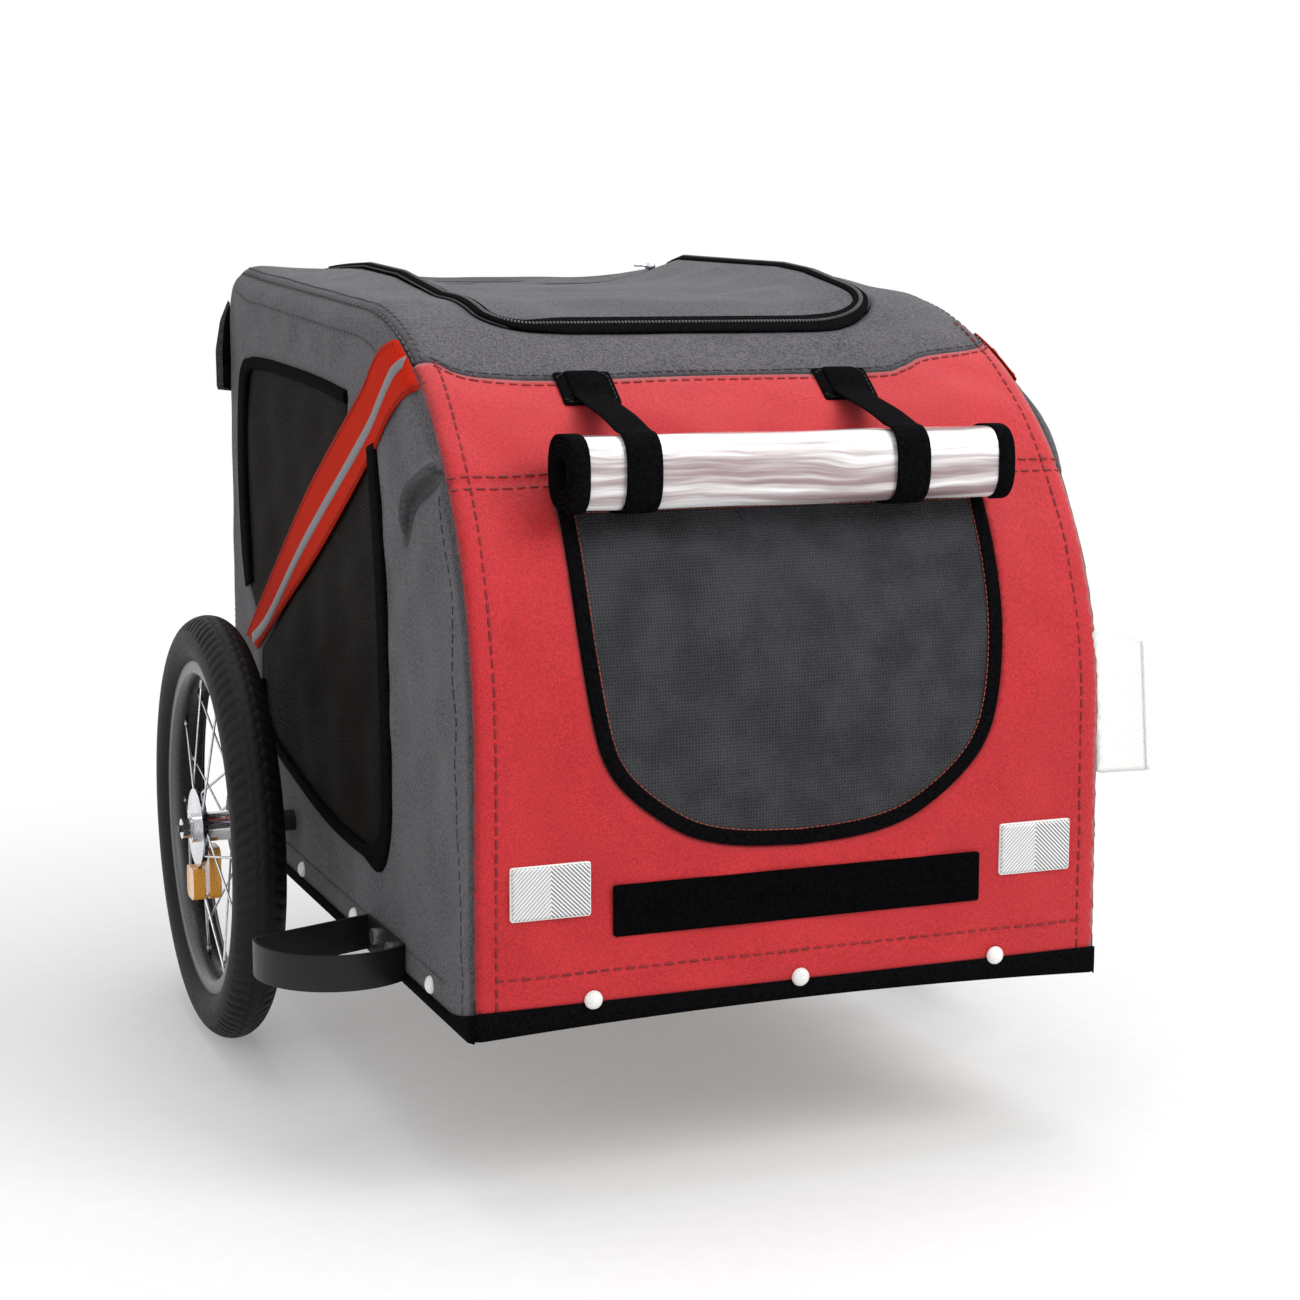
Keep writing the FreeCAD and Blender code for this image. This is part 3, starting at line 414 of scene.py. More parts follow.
def on_wall(side):
    """Places (y, z) on a side wall, rounded towards the band near the profile."""
    def place(y, z, out=0.0):
        y, z = floats(y, z)
        near, at = inset(y, z)
        r = shoulder(LINE_S[at])
        rise = np.clip(1 - near / r, 0, MOST_TURN)
        level = np.sqrt(1 - rise ** 2)
        angle = np.radians(LINE_DEG[at])
        x = half(z) - r + r * level
        tip = rise * out
        return stack3(side * (x + level * out), y - np.cos(angle) * tip, z + np.sin(angle) * tip)
    return place


# Mesh making

def made_object(name, verts, faces, material=None, fields=None, flat_from=None, edges=()):
    """A mesh object from millimetre points; faces from number flat_from on keep a sharp edge."""
    mesh = bpy.data.meshes.new(name)
    mesh.from_pydata((np.asarray(verts) * MM).tolist(), edges, [list(map(int, face)) for face in faces])
    for key, values in (fields or {}).items():
        kind, field = ("FLOAT_VECTOR", "vector") if np.ndim(values) == 2 else ("FLOAT", "value")
        layer = mesh.attributes.new(key, kind, "POINT")
        layer.data.foreach_set(field, np.asarray(values, np.float32).ravel())
    smooth = np.ones(len(mesh.polygons), bool)
    if flat_from is not None:
        smooth[flat_from:] = False
    mesh.polygons.foreach_set("use_smooth", smooth)
    if material:
        mesh.materials.append(material)
    mesh.update()
    made = bpy.data.objects.new(name, mesh)
    bpy.context.scene.collection.objects.link(made)
    return made


def resampled(points, step, closed):
    """The path with points about step apart, its corners kept near."""
    path = np.asarray(points, float)
    if closed:
        path = np.concatenate([path, path[:1]])
    run = run_length(path)
    count = max(int(round(run[-1] / step)), 2)
    at = np.linspace(0, run[-1], count + 1)
    if closed:
        at = at[:-1]
    return np.stack([np.interp(at, run, path[:, axis]) for axis in range(path.shape[1])], -1)


def curve(points, count=12):
    """A smooth path through the points."""
    path = np.asarray(points, float)
    last = len(path) - 1
    out = []
    for at in range(last):
        a, b, c, d = (path[min(max(at + k, 0), last)] for k in (-1, 0, 1, 2))
        for t in np.arange(count) / count:
            out.append(0.5 * (2 * b + (c - a) * t + (2 * a - 5 * b + 4 * c - d) * t ** 2
                              + (3 * b - a - 3 * c + d) * t ** 3))
    out.append(path[-1])
    return np.array(out)


def rounded(points, radius, count=8):
    """A closed polygon with its corners rounded."""
    path = np.asarray(points, float)
    out = []
    for at, corner in enumerate(path):
        back = path[at - 1] - corner
        ahead = path[(at + 1) % len(path)] - corner
        cut = min(radius * 1.4, 0.45 * np.linalg.norm(back), 0.45 * np.linalg.norm(ahead))
        start = corner + back / np.linalg.norm(back) * cut
        end = corner + ahead / np.linalg.norm(ahead) * cut
        for t in np.linspace(0, 1, count):
            out.append((1 - t) ** 2 * start + 2 * t * (1 - t) * corner + t ** 2 * end)
    return np.array(out)


def inside(points, loop):
    """Which points lie in the closed loop."""
    x, y = points[:, 0][:, None], points[:, 1][:, None]
    a, b = loop, np.roll(loop, -1, axis=0)
    spans = (a[:, 1] > y) != (b[:, 1] > y)
    with np.errstate(divide="ignore", invalid="ignore"):
        cross = (b[:, 0] - a[:, 0]) * (y - a[:, 1]) / (b[:, 1] - a[:, 1]) + a[:, 0]
    return (spans & (x < cross)).sum(1) % 2 == 1


def within(points, loops):
    """Which points lie in the first loop and in none of the others."""
    keep = inside(points, loops[0])
    for hole in loops[1:]:
        keep &= ~inside(points, hole)
    return keep


FREE = 60.0              # mm from a seam, beyond which cloth counts as free
ROW_SHARE = 0.866        # height of an even triangle
NO_LOOP = 1e9            # squared distance where there is nothing to be near to


def loop_distance(points, loops):
    """Distance from each point to the nearest loop sample."""
    best = np.full(len(points), NO_LOOP)
    for loop in loops:
        best = np.minimum(best, nearest(points, loop)[0])
    return np.sqrt(best)


def filled(outline, holes, step):
    """Triangles that fill an outline with holes, on staggered inner points."""
    loops = [resampled(loop, step, True) for loop in [outline] + list(holes)]
    low, high = loops[0].min(0), loops[0].max(0)
    grid = []
    for row, v in enumerate(np.arange(low[1], high[1], step * ROW_SHARE)):
        u = np.arange(low[0] + (row % 2) * step / 2, high[0], step)
        grid.append(np.stack([u, np.full(len(u), v)], -1))
    inner = np.concatenate(grid)
    keep = within(inner, loops) & (loop_distance(inner, loops) > 0.6 * step)
    points = np.concatenate(loops + [inner[keep]])
    edges, start = [], 0
    for loop in loops:
        edges += [(start + at, start + (at + 1) % len(loop)) for at in range(len(loop))]
        start += len(loop)
    verts, _, faces = delaunay_2d_cdt([Vector(point) for point in points], edges, [], 0, 1e-5)[:3]
    verts = np.array([tuple(vert) for vert in verts])
    faces = np.array([tuple(face) for face in faces])
    return verts, faces[within(verts[faces].mean(1), loops)], loops


def panel(name, outline, holes, place, material, step=6.0, thick=1.2, relief=None, base=0.0, flip=False,
          creases=()):
    """A cut cloth with thickness, laid on a surface; relief gives its folds, creases get painted shade like
    seams.
    """
    flat, faces, loops = filled(outline, holes, step)
    u, v = flat[:, 0], flat[:, 1]
    edge = np.minimum(loop_distance(flat, loops), FREE)
    out = base + (relief(u, v, edge) if relief else np.zeros(len(flat)))
    if flip:
        faces = faces[:, ::-1]
    count = len(flat)
    used = {pair: True for a, b, c in faces for pair in ((a, b), (b, c), (c, a))}
    rim = [(a, b, b + count, a + count)[::-1] for a, b in used if (b, a) not in used]
    verts = np.concatenate([place(u, v, out), place(u, v, out - thick)])
    # Painted shade: the third value is the distance to a seam, pushed below zero beside a crease.
    cloth = np.stack([u, v, np.minimum(edge, loop_distance(flat, creases) - CREASE_SHADE_REACH)], -1)
    all_faces = list(faces) + list(faces[:, ::-1] + count) + rim
    return made_object(name, verts, all_faces, material, {"cloth": np.concatenate([cloth, cloth])},
                       2 * len(faces))


def ring_faces(rows, columns, closed_rows):
    """Quads between successive rings of points, with caps on an open row of rings."""
    faces = []
    for row in range(rows if closed_rows else rows - 1):
        here, there = row * columns, (row + 1) % rows * columns
        for at in range(columns):
            nxt = (at + 1) % columns
            faces.append((here + at, here + nxt, there + nxt, there + at))
    if not closed_rows:
        faces.append(tuple(range(columns))[::-1])
        faces.append(tuple(range((rows - 1) * columns, rows * columns)))
    return faces


def headings(path, closed):
    """Unit directions along a path."""
    if closed:
        ahead = np.roll(path, -1, axis=0) - np.roll(path, 1, axis=0)
    else:
        ahead = np.gradient(path, axis=0)
    return ahead / np.linalg.norm(ahead, axis=1)[:, None]


def tape_section(width, height, under):
    """Cross-section of a folded tape: offset across the path, height over the cloth."""
    w = width / 2
    return np.array([(-w, under), (-w, height * 0.55), (-w * 0.8, height * 0.9), (-w * 0.35, height),
                     (w * 0.35, height), (w * 0.8, height * 0.9), (w, height * 0.55), (w, under)])


def tape_parts(path, place, section, closed, step, taper=None):
    """Points, quads and cloth values of a tape that follows a path on the cloth; taper scales its width."""
    path = resampled(path, step, closed)
    share = np.ones(len(path)) if taper is None else taper(path[:, 0])
    ahead = headings(path, closed)
    aside = np.stack([ahead[:, 1], -ahead[:, 0]], -1)
    spread = path[:, None, :] + aside[:, None, :] * (section[None, :, :1] * share[:, None, None])
    verts = place(spread[..., 0], spread[..., 1], np.broadcast_to(section[:, 1], spread.shape[:2]))
    cloth = stack3(run_length(path)[:, None], section[None, :, 0], FREE)
    return verts.reshape(-1, 3), ring_faces(len(path), len(section), closed), cloth.reshape(-1, 3)


def joined(name, parts, material):
    """One object from several groups of points, faces and cloth values."""
    verts, faces, cloth, start = [], [], [], 0
    for part_verts, part_faces, part_cloth in parts:
        faces += [tuple(int(at) + start for at in face) for face in part_faces]
        verts.append(part_verts)
        cloth.append(part_cloth)
        start += len(part_verts)
    return made_object(name, np.concatenate(verts), faces, material, {"cloth": np.concatenate(cloth)})


def outward(made):
    """Turns the faces of closed pieces to the outside."""
    work = bmesh.new()
    work.from_mesh(made.data)
    bmesh.ops.recalc_face_normals(work, faces=work.faces)
    work.to_mesh(made.data)
    work.free()
    return made


def tapes(name, paths, place, width, height, material, closed=True, under=-0.4, step=5.0, taper=None):
    """Tapes of one width along paths on the cloth, as one object."""
    section = tape_section(width, height, under)
    parts = [tape_parts(path, place, section, closed, step, taper) for path in paths]
    return outward(joined(name, parts, material))


# Repeated small pieces: stitches, zip teeth, rivets, spokes and nipples

def input_sockets(tree, *more):
    for name, kind in (("Geometry", "Geometry"), ("Piece", "Object"), ("Material", "Material")) + more:
        tree.interface.new_socket(name, in_out="INPUT", socket_type="NodeSocket" + kind)
    tree.interface.new_socket("Geometry", in_out="OUTPUT", socket_type="NodeSocketGeometry")
    return add(tree, "NodeGroupInput").outputs


def finish_tree(tree, points, along, out, scale, given):
    """Sets a copy of the given object on each point, along one direction and upright on another."""
    first = add(tree, "FunctionNodeAlignRotationToVector", {"axis": "X"}, {"Vector": along})
    second = add(tree, "FunctionNodeAlignRotationToVector", {"axis": "Z", "pivot_axis": "X"},
                 {"Rotation": first.outputs[0], "Vector": out})
    copied = add(tree, "GeometryNodeObjectInfo", {"transform_space": "ORIGINAL"}, {"Object": given["Piece"]})
    spread = add(tree, "GeometryNodeInstanceOnPoints", None, {
        "Points": points, "Instance": copied.outputs["Geometry"], "Rotation": second.outputs[0],
        "Scale": scale})
    solid = add(tree, "GeometryNodeRealizeInstances", None, {0: spread.outputs[0]})
    coloured = add(tree, "GeometryNodeSetMaterial", None,
                   {0: solid.outputs[0], "Material": given["Material"]})
    add(tree, "NodeGroupOutput", None, {0: coloured.outputs[0]})


def named_vector(tree, name):
    named = add(tree, "GeometryNodeInputNamedAttribute", {"data_type": "FLOAT_VECTOR"}, {"Name": name})
    return named.outputs[0]


def stitch_tree():
    """Copies of a piece along paths, at an even pitch and with a small spread in size."""
    tree = bpy.data.node_groups.new("stitch_row", "GeometryNodeTree")
    given = input_sockets(tree, ("Pitch", "Float"), ("Spread", "Float"), ("Seed", "Int"))
    path = add(tree, "GeometryNodeMeshToCurve", None, {0: given["Geometry"]}).outputs[0]
    even = add(tree, "GeometryNodeResampleCurve", {"mode": "LENGTH"},
               {"Curve": path, "Length": given["Pitch"]})
    low, high = (add(tree, "ShaderNodeMath", {"operation": way}, {0: 1.0, 1: given["Spread"]}).outputs[0]
                 for way in ("SUBTRACT", "ADD"))
    size = add(tree, "FunctionNodeRandomValue", {"data_type": "FLOAT"},
               {2: low, 3: high, "Seed": given["Seed"]})
    tangent = add(tree, "GeometryNodeInputTangent").outputs[0]
    finish_tree(tree, even.outputs[0], tangent, named_vector(tree, "out"), size.outputs[1], given)
    return tree


def spread_tree():
    """Copies of a unit piece on points that carry their own direction and size."""
    tree = bpy.data.node_groups.new("spread_pieces", "GeometryNodeTree")
    given = input_sockets(tree)
    points = add(tree, "GeometryNodeMeshToPoints", None, {0: given["Geometry"]}).outputs[0]
    finish_tree(tree, points, named_vector(tree, "along"), named_vector(tree, "out"),
                named_vector(tree, "size"), given)
    return tree


STITCH_TREE = stitch_tree()
SPREAD_TREE = spread_tree()


def baked(made, tree, settings):
    """Runs a tree on an object and keeps the result as its mesh."""
    changer = made.modifiers.new("grow", "NODES")
    changer.node_group = tree
    names = {item.name: item.identifier for item in tree.interface.items_tree if item.in_out == "INPUT"}
    for key, value in settings.items():
        changer[names[key]] = value
    graph = bpy.context.evaluated_depsgraph_get()
    mesh = bpy.data.meshes.new_from_object(made.evaluated_get(graph), depsgraph=graph)
    made.modifiers.remove(changer)
    made.data = mesh
    mesh.polygons.foreach_set("use_smooth", np.ones(len(mesh.polygons), bool))
    return made


def revolved(profile, count, axis_from=(0.0, 0.0, 0.0), wobble=None):
    """Points and quads of a profile (x, r) turned round the X axis through a point."""
    profile = np.asarray(profile, float)
    turn = np.linspace(0, 2 * math.pi, count, endpoint=False)
    r = np.broadcast_to(profile[:, 1], (count, len(profile)))
    if wobble is not None:
        r = r + wobble(turn[:, None], profile[None, :, 0], profile[None, :, 1])
    verts = stack3(profile[None, :, 0], r * np.sin(turn)[:, None], r * np.cos(turn)[:, None])
    faces = []
    for row in range(count):
        here, there = row * len(profile), (row + 1) % count * len(profile)
        for at in range(len(profile) - 1):
            faces.append((here + at, here + at + 1, there + at + 1, there + at))
    return verts.reshape(-1, 3) + np.asarray(axis_from), faces


def unit_rod(name, count=8):
    """A rod of unit length and width along X, with rounded ends."""
    half_rod = [(0.42, 0.5), (0.49, 0.3), (0.5, 0.0)]
    verts, faces = revolved([(-x, r) for x, r in half_rod[::-1]] + half_rod, count)
    return outward(made_object(name, verts, faces, ZINC))


def unit_dome(name):
    """A round head of unit width that rises along Z."""
    angles = np.linspace(0, 90, 8)
    profile = [(math.sin(math.radians(a)), 0.5 * math.cos(math.radians(a))) for a in angles]
    verts, faces = revolved([(-0.06, 0.44), (-0.03, 0.5)] + profile, 24)
    return made_object(name, np.stack([verts[:, 1], verts[:, 2], verts[:, 0]], -1), faces, WHITE)


def sized(made, scale):
    """Scales the mesh of a unit piece to millimetres."""
    made.data.transform(Matrix.Diagonal(Vector(tuple(scale) + (1.0,))))
    return made


ROD = unit_rod("rod_pattern")
DOME = unit_dome("dome_pattern")
STITCH = sized(unit_rod("stitch_pattern", 6), (7.4, 2.0, 1.0))
FINE_STITCH = sized(unit_rod("fine_stitch_pattern", 6), (3.4, 0.9, 0.8))
TOOTH = sized(unit_rod("tooth_pattern", 6), (1.7, 4.2, 2.2))
PATTERNS = [ROD, DOME, STITCH, FINE_STITCH, TOOTH]


def row_mesh(name, rows):
    """Paths on the cloth as lines, with the outward direction kept on each point."""
    verts, edges, outs = [], [], []
    for path, place, lift in rows:
        path = resampled(path, 4.0, False)
        here = place(path[:, 0], path[:, 1], lift)
        up = place(path[:, 0], path[:, 1], lift + 1.0) - here
        edges += [(len(verts) + at, len(verts) + at + 1) for at in range(len(path) - 1)]
        verts += here.tolist()
        outs += up.tolist()
    return made_object(name, verts, [], fields={"out": np.array(outs)}, edges=edges)


def stitches(name, rows, material, piece=STITCH, pitch=10.5, spread=0.12):
    return baked(row_mesh(name, rows), STITCH_TREE, {
        "Piece": piece, "Material": material, "Pitch": pitch * MM, "Spread": spread, "Seed": SEED})


def spread_pieces(name, points, along, out, size, piece, material):
    fields = {key: np.broadcast_to(np.asarray(values, np.float32), (len(points), 3))
              for key, values in (("along", along), ("out", out), ("size", size))}
    made = made_object(name, points, [], fields=fields)
    return baked(made, SPREAD_TREE, {"Piece": piece, "Material": material})


# Folds of the cloth

def waves(seed, low, high, count=14):
    """A smooth uneven field of about -1 to 1, with wave lengths between low and high millimetres."""
    pick = np.random.RandomState(seed)
    turn = pick.uniform(0, math.pi, count)
    length = pick.uniform(low, high, count)
    phase = pick.uniform(0, 2 * math.pi, count)

    def field(u, v):
        total = 0.0
        for a, size, start in zip(turn, length, phase):
            total = total + np.sin(2 * math.pi * (u * math.cos(a) + v * math.sin(a)) / size + start)
        return total / math.sqrt(count)
    return field


def ridge(points, height, width):
    """A soft fold that follows a path."""
    path = resampled(curve(points), 3.0, False)
    fade = np.sin(np.linspace(0, math.pi, len(path))) ** 0.6

    def field(u, v):
        far, at = nearest(np.stack([np.ravel(u), np.ravel(v)], -1), path)
        return (height * fade[at] * np.exp(-far / width ** 2)).reshape(np.shape(u))
    return field


def held(edge, span=30.0):
    """Zero at a sewn edge, one in the free cloth a span away."""
    return np.clip(edge / span, 0, 1)


# Outlines, measured on the flat cloth: (x, s) on the band, (y, z) on the walls

def side_run(side, low, high, step=8.0):
    """The seam between the band and a side wall, from one arc length to another."""
    s = np.linspace(low, high, max(int(abs(high - low) / step), 2) + 1)
    return np.stack([side * seam_x(s), s], -1)


# Arc lengths of the cloth's foot and of the red cloth's upper corners on the left and the right
S_FOOT, S_LEFT, S_RIGHT = 23.0, 574.0, 632.0
LEFT_X, RIGHT_X = float(seam_x(S_LEFT)), float(seam_x(S_RIGHT))
RED_TOP = curve([(-LEFT_X, S_LEFT), (-246.0, 567.0), (-232.0, 553.0), (-205.0, 545.5), (-150.0, 541.5),
                 (-28.0, 545.0), (126.0, 545.0), (160.0, 553.0), (186.0, 567.0), (243.0, 579.0),
                 (257.0, 598.0), (RIGHT_X, S_RIGHT)])
DOOR_HALF = [(0.0, 136.0), (50.0, 139.0), (90.0, 148.0), (122.0, 166.0), (149.0, 189.0), (165.0, 213.0),
             (174.0, 246.0), (180.0, 292.0), (182.5, 340.0), (183.0, 420.0)]
DOOR_RIGHT = curve(DOOR_HALF)
MIRROR = np.array([-1.0, 1.0])
DOOR = np.concatenate([DOOR_RIGHT, DOOR_RIGHT[:0:-1] * MIRROR])
HATCH_HALF, LEFT_CUT, RIGHT_CUT = 190.0, 45.0, 92.0
S_HATCH, S_HATCH_REAR = float(s_roof(-205.0)), float(s_roof(325.0))


def hatch_loop(margin, rear):
    """The hatch outline, its right front corner cut back further; rear moves only the rear edge."""
    half_x, front, back = HATCH_HALF - margin, S_HATCH + margin, S_HATCH_REAR - rear
    turn = np.radians(np.linspace(0, 90, 13))
    left, right = (np.stack([half_x - r + r * np.sin(turn), front + r - r * np.cos(turn)], -1)
                   for r in (LEFT_CUT - margin, RIGHT_CUT - margin))
    return np.concatenate([left[::-1] * MIRROR, right, [(half_x, back)], [(-half_x, back)]])


def profile_inset(share):
    """The profile moved inwards by a share of the shoulder, as (y, z)."""
    angle = np.radians(LINE_DEG)
    r = shoulder(LINE_S)[:, None] * share
    return LINE - r * np.stack([-np.cos(angle), np.sin(angle)], -1)


WALL_EDGE = profile_inset(SEAM_SHARE)
SIDE_FOOT = 150.0
WALL = np.concatenate([[(FRONT + 2.6, SIDE_FOOT)], WALL_EDGE[WALL_EDGE[:, 1] >= SIDE_FOOT],
                       [(REAR - 2.9, SIDE_FOOT)]])


def setback(points):
    """Points (distance behind the front, z) as (y, z)."""
    return np.array([(FRONT + back, z) for back, z in points], float)


REAR_TRIM = curve(setback([
    (345, 614), (430, 621), (540, 627), (664, 631), (722, 627), (747, 602), (756, 530), (750, 462),
    (735, 408)]), 6)
REAR_WINDOW = np.concatenate([REAR_TRIM, setback([(700, 380), (642, 400), (502, 485), (352, 566)])])
FRONT_TRIM = curve(setback([
    (266, 578), (248, 500), (239, 436), (234, 370), (231, 300), (235, 258), (252, 236), (290, 228),
    (420, 231), (560, 250), (640, 266), (672, 286), (686, 318)]), 6)
FRONT_WINDOW = np.concatenate([FRONT_TRIM, setback([
    (684, 350), (640, 374), (500, 459), (345, 541), (287, 572)])])
WINDOWS = [REAR_WINDOW, FRONT_WINDOW]


def band_line(points, s):
    """A line up the wall that ends on the wall's edge, at an arc length of the profile."""
    end = [[np.interp(s, LINE_S, WALL_EDGE[:, axis]) for axis in (0, 1)]]
    return curve(np.concatenate([setback(points), end]))


# The diagonal band runs up the wall and bends forward over the shoulder; its tape lies near the middle.
S_BAND_LOW, S_BAND_TAPE, S_BAND_HIGH = 540.0, 582.0, 622.0
BAND_LOW = band_line([(700, 347), (619, 386), (459, 463), (353, 519), (283, 558), (247, 579), (216, 600),
                      (180, 617)], S_BAND_LOW)
BAND_MID = band_line([(716, 356), (642, 388), (502, 471), (335, 558), (267, 594), (236, 615), (206, 635)],
                     S_BAND_TAPE)
BAND_HIGH = band_line([(748, 357), (720, 374), (572, 469), (472, 530), (349, 594), (289, 625), (262, 644),
                       (236, 658)], S_BAND_HIGH)
BAND_TOP = (LINE_S > S_BAND_LOW + 1) & (LINE_S < S_BAND_HIGH - 1)
BAND = np.concatenate([BAND_LOW, WALL_EDGE[BAND_TOP], BAND_HIGH[::-1]])


# Cloth panels

FRONT_WAVES, ROOF_WAVES, WALL_WAVES = waves(3, 45, 150), waves(11, 60, 190), waves(23, 50, 170)
S_MID = float(s_front(562.0))


def hill(value, middle, width):
    return np.exp(-((value - middle) / width) ** 2)


def sewn_down(edge):
    """The dip of cloth beside its seam."""
    return 0.8 * np.exp(-edge / 3)


def front_relief(x, s, edge):
    """Taut cloth with shallow folds, a groove at the cross seam and pulls below the roll."""
    pull = 1.3 * np.sin(x / 21 + 0.02 * s) * hill(s, 470, 45)
    low = 1.2 * np.sin((x + 0.6 * s) / 17) * hill(s, 60, 40) * hill(np.abs(x), 230, 50)
    groove = -1.2 * hill(s, S_MID, 2.5)
    return held(edge) * (0.9 * FRONT_WAVES(x, s) + pull + low) + groove - sewn_down(edge)


# How far the cloth beside the hatch stands up: depths y and heights
RIGHT_LIFT = ([-197, -150, -94, -25, 30, 149, 279, 330, 352], [0, 4, 10, 18, 20, 17, 14, 3, 0])
LEFT_LIFT = ([-60, 20, 62, 176, 260, 325], [0, 7, 11, 12, 6, 0])


def slack(x, s):
    """Height of the loose roof cloth: it sags in the middle to the rear and stands up beside the hatch."""
    y = profile(s)[0]
    sag = -17.0 * held(y - 20, 305) * np.exp(-(x / 155) ** 6) * held(S_CORNER + 45 - s, 45)
    right = np.interp(y, *RIGHT_LIFT) * hill(x, 188, 50)
    left = np.interp(y, *LEFT_LIFT) * hill(x, -188, 35)
    return (sag + right + left) * (s < S_REAR - 10)


def rear_relief(x, s, edge):
    return held(edge, 20) * 1.1 * ROOF_WAVES(x, s) - sewn_down(edge)


def roof_relief(x, s, edge):
    return rear_relief(x, s, edge) + 0.85 * slack(x, s)


def on_hatch(x, s, out=0.0):
    return on_band(x, s, out + 1.2 + slack(np.asarray(x, float), np.asarray(s, float)))


def hatch_relief(x, s, edge):
    return held(edge - 28, 30) * 1.3 * ROOF_WAVES(x + 400, s)


FOLD_LINE = setback([(62, 572), (85, 568), (106, 562), (143, 548), (163, 528), (172, 508)])
FOLD = ridge(FOLD_LINE + np.array([4.0, 5.0]), 10.0, 6.0)
FOLD_DIP = ridge(FOLD_LINE + np.array([-3.5, -4.5]), -8.0, 5.5)
BULGE = ridge(setback([(78, 548), (104, 592), (136, 628)]), 11.0, 17.0)


def plain_relief(y, z, edge):
    return held(edge, 25) * held(z - 155, 40) * (1.1 * WALL_WAVES(y, z)) - sewn_down(edge)


def wall_relief(y, z, edge):
    """Loose cloth between the windows and the frame, with the crescent fold behind the front edge."""
    return plain_relief(y, z, edge) + held(edge, 9) * (FOLD(y, z) + FOLD_DIP(y, z))


def right_relief(y, z, edge):
    return plain_relief(y, z, edge) + held(edge, 13) * BULGE(y, z)


def mesh_relief(u, v, edge):
    return held(edge, 40) * 1.2 * FRONT_WAVES(u * 0.7 + 900, v * 0.7) - 0.6


front_outline = np.concatenate([side_run(-1, S_FOOT, S_LEFT)[:-1], RED_TOP, side_run(1, S_RIGHT, S_FOOT)[1:]])
roof_outline = np.concatenate([RED_TOP[::-1], side_run(-1, S_LEFT, S_REAR)[1:],
                               side_run(1, S_REAR, S_RIGHT)[:-1]])
S_REAR_FOOT = S_END - S_FOOT
rear_outline = np.concatenate([side_run(-1, S_REAR, S_REAR_FOOT), side_run(1, S_REAR_FOOT, S_REAR)])
on_left, on_right = on_wall(-1), on_wall(1)

SIDES = ((-1, on_left, "left"), (1, on_right, "right"))
# The crease of the left wall's crescent fold, which gets painted shade.
SHADED_CREASES = [resampled(curve(FOLD_LINE), 2.0, False)]

front = panel("front_cloth", front_outline, [DOOR], on_band, RED, 5.0, relief=front_relief)
roof = panel("roof_cloth", roof_outline, [hatch_loop(0, 0)], on_band, GREY, relief=roof_relief)
rear = panel("rear_cloth", rear_outline, [], on_band, GREY, 9.0, relief=rear_relief)
left = panel("left_cloth", WALL, WINDOWS, on_left, GREY, 3.6, relief=wall_relief, creases=SHADED_CREASES)
right = panel("right_cloth", WALL, WINDOWS, on_right, GREY, 5.0, relief=right_relief, flip=True)
hatch = panel("hatch_cloth", hatch_loop(1.0, 1.0), [], on_hatch, GREY, relief=hatch_relief)


def shrunk(loop, margin):
    """A closed loop moved inwards."""
    loop = resampled(loop, 4.0, True)
    ahead = headings(loop, True)
    side = np.stack([-ahead[:, 1], ahead[:, 0]], -1)
    moved = loop + side * margin
    if not inside(moved[:1], loop)[0]:
        moved = loop - side * margin
    return moved


door_mesh = panel("door_mesh", shrunk(DOOR, 2.0), [], on_band, MESH, 8.0, 0.6, mesh_relief)
BINDING = 11.5
door_tape = tapes("door_binding", [shrunk(DOOR, 5.6)], on_band, BINDING, 1.8, WEBBING, under=-1.4, step=4.0)


def rear_taper(y):
    """The rear window's binding is widest along its upright edge."""
    return np.interp(y, [FRONT + 716, FRONT + 744], [1.0, 2.7])


def front_taper(y):
    """The front window's binding is widest along its upright edge too."""
    return np.interp(y, [FRONT + 258, FRONT + 300], [2.5, 1.0])


def band_relief(y, z, edge):
    return 0.15 * held(edge, 12) * WALL_WAVES(y, z)


def on_flap(side):
    """A narrow loose flap that stands out from the rear edge of a side wall."""
    def place(a, z, out=0.0):
        a, z = floats(a, z)
        return stack3(side * (half(z) + a), REAR - 8.0 - 0.25 * a - out, z)
    return place


FLAP = np.array([(-2.0, 598.0), (14.0, 600.0), (14.5, 640.0), (9.0, 670.0), (0.0, 690.0), (-2.0, 690.0)])
# A black strip on the wall side of each rear flap: a painted shadow between the flap and the wall.
FLAP_SHADOW_STRIP = np.array([(-3.0, 600.0), (7.0, 602.0), (7.4, 640.0), (5.0, 668.0), (0.0, 684.0), (-3.0, 684.0)])
window_meshes, window_tapes, bands, band_tapes, flaps, flap_shadow_strips = [], [], [], [], [], []
for side, place, mark in SIDES:
    flip = side > 0
    # The window meshes take the darker mesh, its darkness painted shade.
    for loop, part in zip(WINDOWS, ("rear", "front")):
        window_meshes.append(panel(mark + "_" + part + "_window", loop, [], place, SHADED_SIDE_MESH, 9.0, 0.6,
                                   mesh_relief, -0.6, flip))
    for path, part, taper in ((REAR_TRIM, "rear", rear_taper), (FRONT_TRIM, "front", front_taper)):
        window_tapes.append(tapes(mark + "_window_binding_" + part, [path], place, BINDING, 3.2, WEBBING,
                                  False, -1.6, 4.0, taper))
    bands.append(panel(mark + "_band", BAND, [], place, BAND_RED, 6.0, 1.0, band_relief, 2.0, flip))
    band_tapes.append(tapes(mark + "_band_tape", [BAND_MID[:-2]], place, 11.0, 3.2, TAPE, False, 1.6))
